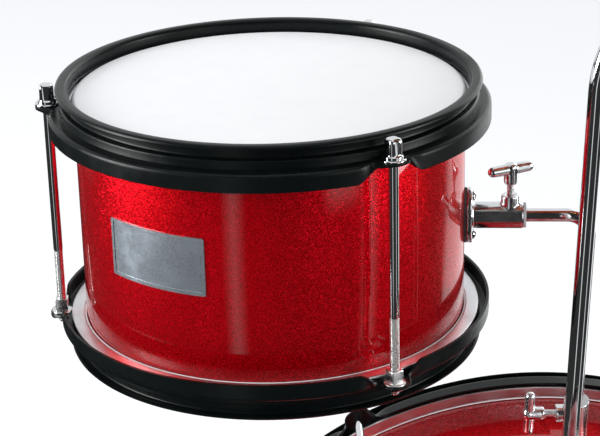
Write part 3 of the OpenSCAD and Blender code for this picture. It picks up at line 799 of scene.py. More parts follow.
@dataclass(frozen=True)
class BlackCoat(Finish):
    """Satin-gloss powder coat on stamped steel."""

    paint_colour: tuple = rgb(0.0022, 0.0040, 0.0040)
    # Grey used for dust and for the painted highlight along the edges.
    dust_wear_and_edge_highlight: tuple = rgb(0.022, 0.026, 0.027)

    def paint(self, coat: Coat) -> Coat:
        """Fine orange peel, dust on top and a painted grey highlight along the edges."""
        peel = coat.effect(Effect.PEEL, Scale=620.0)
        marks = coat.effect(Effect.HANDLING, Scale=30.0, Amount=0.14, Base=0.27)
        # Painted highlight: convex edges turn grey, standing in for light caught along them.
        edges = coat.effect(Effect.EDGES, Sharpness=0.53, Spread=0.06, Breakup=420.0)
        dust = coat.effect(Effect.DUST, Scale=120.0, Amount=0.12)
        # Dust on top faces, and the painted edge highlight at 0.7.
        dust_wear_and_edge_highlight = coat.math("MAXIMUM", coat.math("MULTIPLY", edges.outputs["Mask"], 0.7), dust.outputs["Mask"])
        return coat.set(Base_Color=coat.blend(dust_wear_and_edge_highlight, self.paint_colour, self.dust_wear_and_edge_highlight),
                        Roughness=marks.outputs["Roughness"], Specular_IOR_Level=0.2,
                        Normal=coat.bump(peel.outputs["Height"], 0.35, 0.06))


@dataclass(frozen=True)
class PlatedMetal(Finish):
    """Chrome, zinc or aluminium, told apart by colour and roughness."""

    tint: tuple = rgb(0.80, 0.81, 0.825)
    stain: tuple = rgb(0.55, 0.56, 0.58)
    rough: float = 0.05
    marks: float = 0.10
    grain: float = 0.0

    def paint(self, coat: Coat) -> Coat:
        """Bright metal with smears, faint waves and fine pits."""
        smears = coat.effect(Effect.HANDLING, Scale=55.0, Amount=self.marks, Base=self.rough)
        pits = coat.ramp(coat.noise(coat.point, 1400.0, 2.0), 0.66, 0.78)
        colour = coat.blend(coat.math("MULTIPLY", pits, 0.5), self.tint, self.stain)
        peel = coat.effect(Effect.PEEL, Scale=180.0)
        normal = coat.bump(peel.outputs["Height"], 0.05 + self.grain, 0.04)
        return coat.set(Base_Color=colour, Metallic=1.0, Roughness=smears.outputs["Roughness"],
                        Normal=normal)


@dataclass(frozen=True)
class Rubber(Finish):
    """Matt moulded rubber or nylon."""

    tint: tuple = rgb(0.022, 0.022, 0.024)
    dusty: tuple = rgb(0.11, 0.11, 0.11)
    rough: float = 0.55

    def paint(self, coat: Coat) -> Coat:
        """Scuffed, slightly dusty, and with a painted pale highlight along its edges."""
        marks = coat.effect(Effect.HANDLING, Scale=60.0, Amount=0.2, Base=self.rough)
        dust = coat.effect(Effect.DUST, Scale=140.0, Amount=0.35)
        edges = coat.effect(Effect.EDGES, Sharpness=0.54, Spread=0.08, Breakup=260.0)
        # Dust together with the pale edges, which are rubbed wear and a painted edge highlight.
        dust_wear_and_edge_highlight = coat.math("MAXIMUM", coat.math("MULTIPLY", edges.outputs["Mask"], 0.6), dust.outputs["Mask"])
        peel = coat.effect(Effect.PEEL, Scale=900.0)
        return coat.set(Base_Color=coat.blend(dust_wear_and_edge_highlight, self.tint, self.dusty),
                        Roughness=marks.outputs["Roughness"], Specular_IOR_Level=0.35,
                        Normal=coat.bump(peel.outputs["Height"], 0.4, 0.08))


@dataclass(frozen=True)
class Felt(Finish):
    """Pressed grey wool felt."""

    tint: tuple = rgb(0.13, 0.13, 0.138)
    fibre: tuple = rgb(0.34, 0.34, 0.35)

    def paint(self, coat: Coat) -> Coat:
        """Crossing fibres in two greys, with a soft sheen."""
        first = coat.effect(Effect.GRAIN, Along=(1, 7, 3), Scale=420.0)
        second = coat.effect(Effect.GRAIN, Along=(6, 1, 2), Scale=520.0)
        fibres = coat.math("MAXIMUM", first.outputs["Mask"], second.outputs["Mask"])
        patches = coat.ramp(coat.noise(coat.point, 160.0), 0.35, 0.7)
        share = coat.math("MULTIPLY", fibres, coat.math("MULTIPLY_ADD", patches, 0.5))
        return coat.set(Base_Color=coat.blend(share, self.tint, self.fibre), Roughness=0.95,
                        Specular_IOR_Level=0.2, Sheen_Weight=0.6, Sheen_Roughness=0.5,
                        Normal=coat.bump(fibres, 0.9, 0.25))


@dataclass(frozen=True)
class LathedBrass(Finish):
    """Brass that was spun and cut in fine rings."""

    frame: Matrix = field(default_factory=Matrix)
    tint: tuple = rgb(0.79, 0.58, 0.25)
    tarnish: tuple = rgb(0.46, 0.30, 0.12)

    def __hash__(self) -> int:
        """Counts by name, because a matrix has no hash."""
        return hash(self.name)

    def paint(self, coat: Coat) -> Coat:
        """Rings round the bell, with a little tarnish."""
        local = coat.local(self.frame)
        radius = coat.from_axis(local)
        wobble = coat.math("MULTIPLY_ADD", coat.noise(local, 18.0), 0.0006)
        coat.tree.links.new(radius, wobble.node.inputs[2])
        rings = coat.math("SINE", coat.math("MULTIPLY", wobble, 4200.0))
        coarse = coat.math("SINE", coat.math("MULTIPLY", wobble, 690.0))
        ring = coat.ramp(coat.math("ADD", rings, coat.math("MULTIPLY", coarse, 0.7)), -1.5, 1.5)
        marks = coat.effect(Effect.HANDLING, Scale=20.0, Amount=0.16, Base=0.2)
        patch = coat.math("MULTIPLY", marks.outputs["Mask"], 0.55)
        colour = coat.blend(patch, coat.blend(ring, self.tint, rgb(0.86, 0.66, 0.32)), self.tarnish)
        return coat.set(Base_Color=colour, Metallic=1.0, Roughness=marks.outputs["Roughness"],
                        Normal=coat.bump(ring, 0.45, 0.06))


@dataclass(frozen=True)
class BrushedPlate(Finish):
    """Blue-grey plate, brushed lengthwise."""

    frame: Matrix = field(default_factory=Matrix)
    tint: tuple = rgb(0.40, 0.46, 0.52)
    light: tuple = rgb(0.62, 0.68, 0.73)

    def __hash__(self) -> int:
        """Counts by name, because a matrix has no hash."""
        return hash(self.name)

    def paint(self, coat: Coat) -> Coat:
        """Fine lines along the plate."""
        local = coat.local(self.frame)
        grain = coat.effect(Effect.GRAIN, Vector=local, Along=(1, 1, 26), Scale=90.0)
        marks = coat.effect(Effect.HANDLING, Scale=50.0, Amount=0.1, Base=0.27)
        cloud = coat.ramp(coat.noise(local, 22.0, 3.0), 0.3, 0.7, 0.0, 0.5)
        share = coat.math("ADD", coat.math("MULTIPLY", grain.outputs["Mask"], 0.5), cloud, clamp=True)
        return coat.set(Base_Color=coat.blend(share, self.tint, self.light), Metallic=0.85,
                        Roughness=marks.outputs["Roughness"],
                        Normal=coat.bump(grain.outputs["Mask"], 0.25, 0.03))


@dataclass(frozen=True)
class PlyShell(Finish):
    """Pale plies of a wooden shell."""

    frame: Matrix = field(default_factory=Matrix)
    light: tuple = rgb(0.66, 0.47, 0.29)
    dark: tuple = rgb(0.40, 0.25, 0.14)

    def __hash__(self) -> int:
        """Counts by name, because a matrix has no hash."""
        return hash(self.name)

    def paint(self, coat: Coat) -> Coat:
        """Long fibres with plies in the cut edge."""
        local = coat.local(self.frame)
        grain = coat.effect(Effect.GRAIN, Vector=local, Along=(3, 3, 24), Scale=14.0)
        pores = coat.effect(Effect.GRAIN, Vector=local, Along=(4, 4, 60), Scale=60.0)
        radius = coat.from_axis(local)
        plies = coat.ramp(coat.math("SINE", coat.math("MULTIPLY", radius, 6283.0)), -0.3, 0.4)
        tone = coat.math("MULTIPLY_ADD", plies, 0.35)
        coat.tree.links.new(coat.math("MULTIPLY", grain.outputs["Mask"], 0.65), tone.node.inputs[2])
        return coat.set(Base_Color=coat.blend(tone, self.light, self.dark), Roughness=0.6,
                        Normal=coat.bump(pores.outputs["Mask"], 0.3, 0.1))


@dataclass(frozen=True)
class Finishes:
    tom: Matrix
    bass: Matrix
    cymbal: Matrix
    badge: Matrix

    wrap: Finish = SparkleWrap("sparkle_wrap", "sparkle_wrap")
    head: Finish = HeadFilm("head_film", "head_film")
    black: Finish = BlackCoat("black_coat", "black_hoop")
    chrome: Finish = PlatedMetal("chrome", "chrome_hardware")
    casting: Finish = PlatedMetal("cast_chrome", "chrome_hardware", rough=0.13, marks=0.14, grain=0.1)
    zinc: Finish = PlatedMetal("zinc_thread", "chrome_hardware", rgb(0.78, 0.785, 0.78),
                               rgb(0.5, 0.5, 0.48), 0.2, 0.2, 0.1)
    steel: Finish = PlatedMetal("threaded_steel", "threaded_steel", rgb(0.68, 0.69, 0.7),
                                rgb(0.45, 0.45, 0.45), 0.2, 0.15, 0.1)
    ring: Finish = PlatedMetal("flesh_ring", "flesh_metal", rgb(0.80, 0.81, 0.83), rgb(0.6, 0.61, 0.62),
                               0.36, 0.2, 0.15)
    rubber: Finish = Rubber("moulded_rubber", "rubber_trim")
    nylon: Finish = Rubber("grey_nylon", "nylon_bush", rgb(0.50, 0.51, 0.52), rgb(0.40, 0.40, 0.40), 0.34)
    felt: Finish = Felt("wool_felt", "felt_pad")

    def brass(self) -> Finish:
        """The cymbal's finish."""
        return LathedBrass("lathed_brass", "cymbal_brass", self.cymbal)

    def plate(self) -> Finish:
        """The badge's finish."""
        return BrushedPlate("brushed_plate", "badge_plate", self.badge)

    def ply(self, name: str, frame: Matrix) -> Finish:
        """A shell's finish."""
        return PlyShell(name, "wood_shell", frame)


# ---------------------------------------------------------------- pieces


class Maker:
    """Dresses finished pieces and hangs them on the frame."""

    def __init__(self, kit: Kit, finishes: Finishes) -> None:
        """Keeps the frame and the finishes."""
        self.kit, self.finishes = kit, finishes

    def hang(self, piece: bpy.types.Object, finish: Finish, *nodes: str,
             body: str = "") -> bpy.types.Object:
        """Gives a piece its finish and its body, and hides the nodes it stands for.

        Args:
            piece: The finished piece.
            finish: Its finish.
            nodes: The frame nodes it stands for.
            body: Its body, where it stands for no node.

        Returns:
            The piece.
        """
        piece.data.materials.clear()
        piece.data.materials.append(finish.material())
        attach(piece, body or self.kit.body_of[nodes[0]])
        finish.slot
        if nodes:
            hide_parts(*nodes)
        log.info("%s: %d faces on %s", piece.name, len(piece.data.polygons), piece["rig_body"])
        return piece

    def dress(self, finish: Finish, *nodes: str) -> None:
        """Gives frame nodes a finish and leaves their shape."""
        for name in nodes:
            node = self.kit.nodes[name]
            node.data.materials.clear()
            node.data.materials.append(finish.material())
            log.info("%s keeps its shape, in %s", name, finish.name)


@dataclass
class DrumSize:
    """Sizes of a drum, in millimetres from its shell and its heads."""

    radius: float
    depth: float
    rods: int
    first_rod: float
    wrap: float = 0.8
    film: float = 0.5
    rod_offset: float = 13.7
    ear_top: float = -6.0
    hoop_t: float = 1.4
    rise: float = 6.2
    facets: int = 360


class Drum:
    """Shell wrap, heads, hoops and fittings of one drum."""

    def __init__(self, maker: Maker, name: str, size: DrumSize, frame: Matrix) -> None:
        """Keeps the drum's name, size and frame."""
        self.maker, self.name, self.size, self.frame = maker, name, size, frame

    def end(self, batter: bool) -> Matrix:
        """Frame of one end, with z out of the drum and the same bearings.

        Args:
            batter: Whether it is the struck end.

        Returns:
            The frame, mirrored for the other end.
        """
        half = self.size.depth / 2
        if batter:
            return moved(self.frame, z=half)
        return moved(self.frame, z=-half) @ Matrix.Diagonal((1, 1, -1, 1))

    def dense(self, bearing: float) -> float:
        """Draws bearings together near the rods."""
        count = self.size.rods
        return bearing - 0.62 / count * math.sin(count * (bearing - math.radians(self.size.first_rod)))

    def arc_from_rod(self, bearing: float) -> float:
        """Distance in millimetres round the hoop to the nearest rod."""
        pitch = TURN / self.size.rods
        off = (bearing - math.radians(self.size.first_rod)) / pitch
        return (off - round(off)) * pitch * (self.size.radius + self.size.rod_offset)

    def hoop(self, batter: bool, label: str) -> bpy.types.Object:
        """Stamped hoop whose skirt rises and flares into its ears.

        Args:
            batter: Which end it is on.
            label: Word for that end in names.

        Returns:
            The hoop.
        """
        s = self.size
        wall = softened([(7.6, s.rise - 2.1), (7.4, s.rise - s.hoop_t), (3.8, s.rise - s.hoop_t),
                         (3.8, -1.5), (7.2, -1.5), (7.2, s.ear_top)], 1.1, 4)
        skirt_len = 5.4 + 9.2
        skirt_rows = 16
        rows = wall[:-1] + [(7.2 + 0.01 * k, s.ear_top) for k in range(skirt_rows + 1)]
        shape = Shape()
        shape.lathe([(s.radius + r, z) for r, z in rows], s.facets)

        def skirt_point(share: float) -> tuple[float, float]:
            run = share * skirt_len
            if run < 4.6:
                return 7.2 + run, s.ear_top - 0.35 * (run / 4.6) ** 2
            turn = min((run - 4.6) / 2.2, 1.0)
            angle = turn * math.pi / 2
            out = 7.2 + 4.6 + 1.7 * math.sin(angle)
            drop = s.ear_top - 0.35 - 1.7 * (1 - math.cos(angle))
            return out, max(drop - max(run - 6.8, 0.0), s.ear_top - 9.4)

        def ear_point(share: float, arc: float) -> tuple[float, float]:
            tip = 13.3 + 6.7 * math.sqrt(max(0.0, 1 - (arc / 9.5) ** 2)) if abs(arc) < 9.5 else 13.3
            return 7.2 + share * (tip - 7.2), s.ear_top - 0.02

        def warp(co: Vector) -> Vector:
            bearing = self.dense(math.atan2(co.y, co.x))
            reach = math.hypot(co.x, co.y) - s.radius
            height = co.z
            if abs(height - s.ear_top) < 1e-4 and reach > 7.19:
                share = min((reach - 7.2) / (0.01 * skirt_rows), 1.0)
                arc = self.arc_from_rod(bearing)
                lift = min(max((19.0 - abs(arc)) / 13.0, 0.0), 1.0)
                lift = lift * lift * (3 - 2 * lift)
                low, high = skirt_point(share), ear_point(share, arc)
                reach = low[0] + (high[0] - low[0]) * lift
                height = low[1] + (high[1] - low[1]) * lift
            out = s.radius + reach
            return Vector((out * math.cos(bearing), out * math.sin(bearing), height))

        shape.spread(warp)
        hoop = shape.done(f"{self.name}_{label}_hoop_shell", self.end(batter))
        outward = self.faces_out(hoop)
        wallthick = hoop.modifiers.new("sheet", "SOLIDIFY")
        wallthick.thickness, wallthick.offset = s.hoop_t * MM, -1.0 if outward else 1.0
        soft = hoop.modifiers.new("rolled", "BEVEL")
        soft.width, soft.segments = 0.45 * MM, 3
        soft.limit_method, soft.angle_limit = "ANGLE", math.radians(50)
        settle(hoop)
        shade(hoop, 50)
        return self.maker.hang(hoop, self.maker.finishes.black, f"{self.name}_{label}_hoop")

    def faces_out(self, piece: bpy.types.Object) -> bool:
        """Whether the faces of an open sheet look away from the drum's axis."""
        origin, axis = self.frame.translation, self.frame.to_3x3() @ Vector((0, 0, 1))
        axis.normalize()
        total = 0.0
        for face in piece.data.polygons:
            arm = face.center - origin
            total += face.normal.dot((arm - axis * arm.dot(axis)).normalized()) * face.area
        return total > 0

    def head(self, batter: bool, label: str) -> bpy.types.Object:
        """Film with a collar that bends over the bearing edge.

        Args:
            batter: Which end it is on.
            label: Word for that end in names.

        Returns:
            The head.
        """
        r, t = self.size.radius, self.size.film
        outer = [(0, 0), (r * 0.5, 0), (r - 5, 0)] + softened(
            [(r - 4, 0), (r - 0.6, -0.12), (r + 0.86, -1.9), (r + 0.88, -6), (r + 0.88, -10.9)], 1.6, 4)
        inner = softened([(r + 0.32, -10.9), (r + 0.32, -6), (r + 0.2, -2.2), (r - 1.0, -t - 0.1), (r - 5, -t)],
                         1.2, 4) + [(r * 0.5, -t), (0, -t)]
        film = Shape().lathe(outer + inner, self.size.facets).done(
            f"{self.name}_{label}_head", self.end(batter))
        return self.maker.hang(film, self.maker.finishes.head, f"{self.name}_{label}_film")

    def flesh_ring(self, batter: bool, label: str) -> bpy.types.Object:
        """Rolled aluminium ring that holds a head's edge.

        Args:
            batter: Which end it is on.
            label: Word for that end in names.

        Returns:
            The ring.
        """
        r = self.size.radius
        section = softened([(r + 0.92, -2.95), (r + 0.92, -10.95), (r + 8.1, -10.95), (r + 8.1, -9.1),
                            (r + 5.6, -8.9), (r + 5.6, -2.95)], 0.9, 4, closed=True)
        ring = Shape().lathe(section, self.size.facets, closed=True).done(
            f"{self.name}_{label}_flesh_ring", self.end(batter))
        return self.maker.hang(ring, self.maker.finishes.ring, f"{self.name}_{label}_flesh_hoop")

    def wrap(self, holes: Sequence[tuple[Matrix, float]]) -> bpy.types.Object:
        """Wrap with the holes that the fittings need.

        Args:
            holes: Frame and radius of each hole, whose axis is the frame's z.

        Returns:
            The wrap.
        """
        s = self.size
        half, inner = s.depth / 2 - 3, s.radius - s.wrap
        section = softened([(inner, -half), (s.radius, -half), (s.radius, half), (inner, half)],
                           0.25, 2, True)
        sheet = Shape().lathe(section, s.facets, closed=True).done(f"{self.name}_wrap_film",
                                                                   self.frame)
        for number, (frame, radius) in enumerate(holes):
            cutter = Shape().lathe([(0, -30), (radius, -30), (radius, 30), (0, 30)], 40).done(
                f"{self.name}_cutter_{number}", frame)
            cut = sheet.modifiers.new("hole", "BOOLEAN")
            cut.object, cut.operation, cut.solver = cutter, "DIFFERENCE", "EXACT"
            settle(sheet)
            bpy.data.objects.remove(cutter)
        return self.maker.hang(sheet, self.maker.finishes.wrap, f"{self.name}_wrap")

    def at_rod(self, number: int, base: Matrix | None = None) -> Matrix:
        """Frame of a rod, with x out of the drum."""
        bearing = self.size.first_rod + number * 360 / self.size.rods
        return moved(turned(base or self.frame, bearing), x=self.size.radius + self.size.rod_offset)

    def key_rods(self) -> None:
        """Key rods: square head, collar, plain shank and rolled thread."""
        s = self.size
        seat = s.depth / 2 + s.ear_top + 1.2
        foot = -s.depth / 2 - s.ear_top - 1.5 - 3
        change = foot + (seat - foot) * 0.335

        def squared(co: Vector) -> Vector:
            reach, share = math.hypot(co.x, co.y), min(max((co.z - seat - 1.3) / 1.2, 0), 1)
            if reach < 0.01 or share == 0:
                return co
            full = (abs(co.x / reach) ** 4 + abs(co.y / reach) ** 4) ** -0.25
            grown = 1 + (full - 1) * share
            return Vector((co.x * grown, co.y * grown, co.z))

        head = Shape()
        crest = seat + 10.1
        head.lathe([(0, seat)] + softened([(4.9, seat), (4.95, seat + 1.1), (3.75, seat + 1.75), (3.6, crest - 2.4)],
                                          0.45, 3)
                   + arc_points((1.5, crest - 2.1), 2.08, 0, 88, 8) + [(0, crest)], 48)
        head.spread(squared)
        head.lathe([(0, change), (2.36, change), (2.5, change + 0.3), (2.5, seat + 0.5),
                    (0, seat + 0.5)], 40)
        upper = head.stamp()
        pitch = 0.8
        screw = Shape()
        screw.thread(2.47, 0.36, pitch, (change - foot - 0.6) / pitch - 1, foot + 0.5, 12)
        screw.lathe([(0, foot), (1.7, foot), (2.14, foot + 0.5), (2.14, change + 0.1),
                     (0, change + 0.1)], 28)
        lower = screw.stamp()
        for number in range(s.rods):
            node, frame = f"{self.name}_rod_{number + 1}", self.at_rod(number)
            self.maker.hang(upper.place(f"{node}_key_head", frame), self.maker.finishes.chrome, node)
            self.maker.hang(lower.place(f"{node}_thread", frame), self.maker.finishes.zinc,
                            body=self.maker.kit.body_of[node])

    def washers(self) -> bpy.types.Object:
        """Round-edged washers under the key heads."""
        base, shape = self.end(True), Shape()
        local = base.inverted()
        top = self.size.ear_top
        section = softened([(2.7, top), (6.35, top), (6.35, top + 0.75), (5.6, top + 1.18), (2.7, top + 1.18)],
                           0.35, 3, closed=True)
        for number in range(self.size.rods):
            shape.lathe(section, 40, local @ self.at_rod(number, base), closed=True)
        piece = shape.done(f"{self.name}_cup_washers", base)
        return self.maker.hang(piece, self.maker.finishes.chrome, f"{self.name}_rod_washers")

    def nuts(self) -> bpy.types.Object:
        """Square nuts swaged through the far ears."""
        base, shape = self.end(False), Shape()
        local = base.inverted()
        face = self.size.ear_top - self.size.hoop_t
        foot = softened([(2.56, self.size.ear_top + 1.45), (4.7, self.size.ear_top + 1.45),
                         (5.0, self.size.ear_top), (3.4, self.size.ear_top), (3.4, face), (5.7, face),
                         (5.7, face - 0.8), (4.9, face - 1.2), (2.56, face - 1.2)], 0.3, 2, closed=True)
        for number in range(self.size.rods):
            at = local @ self.at_rod(number, base)
            shape.lathe(foot, 36, at, closed=True)
            shape.prism(6.6, 7.6, at @ Matrix.Translation((0, 0, face - 7.75)), 4, 0.5)
        piece = shape.done(f"{self.name}_swaged_nuts", base)
        return self.maker.hang(piece, self.maker.finishes.zinc, f"{self.name}_rod_nuts")

    def build(self, labels: tuple[str, str], holes: Sequence[tuple[Matrix, float]]) -> None:
        """Builds every piece of the drum.

        Args:
            labels: Words for the struck and the other end.
            holes: Holes through the wrap.
        """
        for batter, label in zip((True, False), labels):
            self.hoop(batter, label)
            self.head(batter, label)
            self.flesh_ring(batter, label)
        self.wrap(holes)
        self.key_rods()
        self.washers()
        self.nuts()
        ply = self.maker.finishes.ply(f"{self.name}_ply", self.frame)
        self.maker.dress(ply, f"{self.name}_shell")


@dataclass
class Badge:
    """Plate on the tom's shell, curved to it, with a raised border."""

    maker: Maker
    frame: Matrix
    radius: float = TOM_R
    width: float = 57.6
    height: float = 30.4
    thick: float = 0.78
    border: float = 1.5

    def build(self) -> bpy.types.Object:
        """Builds the plate.

        Returns:
            The plate.
        """
        shape = Shape()
        bm = shape.bm
        bmesh.ops.create_grid(bm, x_segments=40, y_segments=1, size=0.5)
        bmesh.ops.scale(bm, vec=(self.width, self.height, 1), verts=bm.verts)
        plate = bm.faces[:]
        made = bmesh.ops.extrude_face_region(bm, geom=plate)
        top = [g for g in made["geom"] if isinstance(g, bmesh.types.BMFace)]
        bmesh.ops.translate(bm, vec=(0, 0, self.thick), verts=list({v for f in top for v in f.verts}))
        corners = [e for e in bm.edges
                   if abs(e.verts[0].co.z - e.verts[1].co.z) > 0.1 and len(e.link_faces) == 2
                   and abs(e.link_faces[0].normal.dot(e.link_faces[1].normal)) < 0.1]
        bmesh.ops.bevel(bm, geom=corners, offset=1.6, offset_type="OFFSET", affect="EDGES", segments=4,
                        profile=0.5, material=-1)
        top = [f for f in bm.faces if f.calc_center_median().z > self.thick - 1e-4]
        for thickness in (0.25, self.border, 0.3):
            bmesh.ops.inset_region(bm, faces=top, thickness=thickness)
        bmesh.ops.translate(bm, vec=(0, 0, -0.28), verts=list({v for f in top for v in f.verts}))

        def curve(co: Vector) -> Vector:
            out, angle = self.radius + co.z, co.x / self.radius
            return Vector((out * math.cos(angle), out * math.sin(angle), co.y))

        shape.spread(curve)
        piece = shape.done("tom_name_plate", self.frame)
        return self.maker.hang(piece, self.maker.finishes.plate(), "tom_badge")


@dataclass
class WingBolt:
    """T-shaped wing bolt, cast on a short threaded neck."""

    maker: Maker
    node: str
    frame: Matrix
    tip: float
    hub: float
    bar_turn: float
    span: float = 27.0

    def build(self) -> bpy.types.Object:
        """Builds the bolt.

        Returns:
            The cast wings; its thread is a piece beside it.
        """
        shape = Shape()
        shape.lathe(softened([(0, self.hub + 0.1), (3.3, self.hub + 0.1), (3.6, self.hub + 1.2),
                              (3.6, self.hub + 10.0), (2.4, self.hub + 11.5),
                              (0, self.hub + 11.55)], 0.8, 3), 40)
        bar = turned(Matrix.Translation((0, 0, self.hub + 8.2)), self.bar_turn)
        for side in (90, -90):
            shape.peg(3.15, 2.75, self.span / 2, turned(bar, side, "Y"))
        wings = fuse(shape.done(f"{self.node}_wings", self.frame), 0.3, 5)
        self.maker.hang(wings, self.maker.finishes.casting, self.node)
        screw = Shape()
        pitch = 0.7
        turns = (self.hub - self.tip - 0.6) / pitch - 1
        screw.thread(1.97, 0.3, pitch, turns, self.tip + 0.4, 16)
        screw.lathe([(0, self.tip), (1.3, self.tip), (1.7, self.tip + 0.5), (1.7, self.hub + 0.6),
                     (0, self.hub + 0.6)], 24)
        self.maker.hang(screw.done(f"{self.node}_thread", self.frame), self.maker.finishes.zinc,
                        body=self.maker.kit.body_of[self.node])
        return wings


class Bracket:
    """Cast bracket and its screws."""

    def __init__(self, maker: Maker, name: str, frame: Matrix, radius: float,
                 length: float) -> None:
        """Keeps the bracket's names and its radial frame.

        Args:
            maker: Dresses the pieces.
            name: The bracket's node.
            frame: Frame with z out of the drum, through the drum's axis, and x along the plate.
            radius: The drum's radius.
            length: Length of the plate.
        """
        self.maker, self.name, self.frame = maker, name, frame
        self.radius, self.length = radius, length

    def casting(self) -> None:
        """The plate, barrel and boss as one casting."""
        piece = cast_copy(self.maker.kit.nodes[self.name], f"{self.name}_casting", 0.45)
        self.maker.hang(piece, self.maker.finishes.casting, self.name)

    def screws(self, shape: Shape, base: Matrix) -> None:
        """Adds the bracket's screws and their nuts to a shape.

        Args:
            shape: The shape that takes them.
            base: That shape's frame.
        """
        seat, inside = self.radius + 4.2, self.radius - 6.3
        rings = [(2.8, seat), (2.8, seat + 0.7)] + arc_points((0, seat - 1.3), 3.4, 35, 65, 3)
        rings += [(r, seat + 1.95) for r in (1.25, 1.0, 0.75, 0.5, 0.25)] + [(0, seat + 1.95)]

        def recess(co: Vector) -> Vector:
            reach, arm = math.hypot(co.x, co.y), min(abs(co.x), abs(co.y))
            sunk = co.z > seat + 1.0 and reach < 1.7 and arm < 0.32
            return Vector((co.x, co.y, co.z - 0.7 * (1 - reach / 2.6))) if sunk else co

        for side in (-1, 1):
            at = base.inverted() @ moved(self.frame, x=side * (self.length / 2 - 4.3))
            head = Shape().lathe([(0, seat)] + rings, 48).spread(recess)
            bmesh.ops.transform(head.bm, matrix=at, verts=head.bm.verts)
            part = bpy.data.meshes.new("screw")
            head.bm.to_mesh(part)
            head.bm.free()
            shape.bm.from_mesh(part)
            bpy.data.meshes.remove(part)
            shape.lathe([(0, inside - 3.4), (1.2, inside - 3.4), (1.5, inside - 3.0), (1.5, seat + 0.3),
                         (0, seat + 0.3)], 20, at)
            shape.prism(5.5, 2.3, at @ Matrix.Translation((0, 0, inside - 2.4)), 6, 0.3)


class Arms:
    """The L-shaped tom arm and the bent cymbal arm."""

    REACH = 168.0

    def __init__(self, maker: Maker) -> None:
        """Keeps the maker."""
        self.maker = maker

    def tom_arm(self) -> None:
        """Chrome rod from inside the bass drum up, round its bend and into the tom."""
        kit = self.maker.kit
        leg, through = kit.axis("tom_tilt"), kit.pos("tom_tilt")
        upright = kit.pos("tom_arm_swivel")
        flat = Vector((leg.x, leg.y, 0))
        reach = (Vector((upright.x, upright.y, 0)) - Vector((through.x, through.y, 0))).length
        corner = through + leg * (reach / flat.length)
        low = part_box("tom_arm")[0].z
        rise = math.degrees(math.asin(leg.z))
        bend_r, turn = 12.0, 90.0 + rise
        tangent = bend_r * math.tan(math.radians(turn / 2))
        frame = frame_at(Vector((upright.x, upright.y, low)), Vector((0, 0, 1)), -leg)
        straight = (corner.z - low) / MM - tangent
        level = self.REACH - TOM_R + 35.0 - tangent
        rod = Shape().rod(3.5, [("run", straight - 0.8), ("bend", bend_r, turn),
                                ("run", level - 0.2)])
        self.maker.hang(rod.done("tom_arm_rod", frame), self.maker.finishes.chrome, "tom_arm")

    def cymbal_arm(self) -> None:
        """Thicker chrome tube with two opposite bends."""
        kit = self.maker.kit
        upright = kit.pos("cymbal_arm_swivel")
        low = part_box("cymbal_arm")[0].z
        frame = frame_at(Vector((upright.x, upright.y, low)), Vector((0, 0, 1)), Vector((1, 0, 0)))
        tube = Shape().rod(4.25, [("run", 325.0), ("bend", 70.0, 48.0), ("run", 30.0),
                                  ("bend", 70.0, -36.0), ("run", 2.0)], 56)
        self.maker.hang(tube.done("cymbal_arm_tube", frame), self.maker.finishes.chrome,
                        "cymbal_arm")


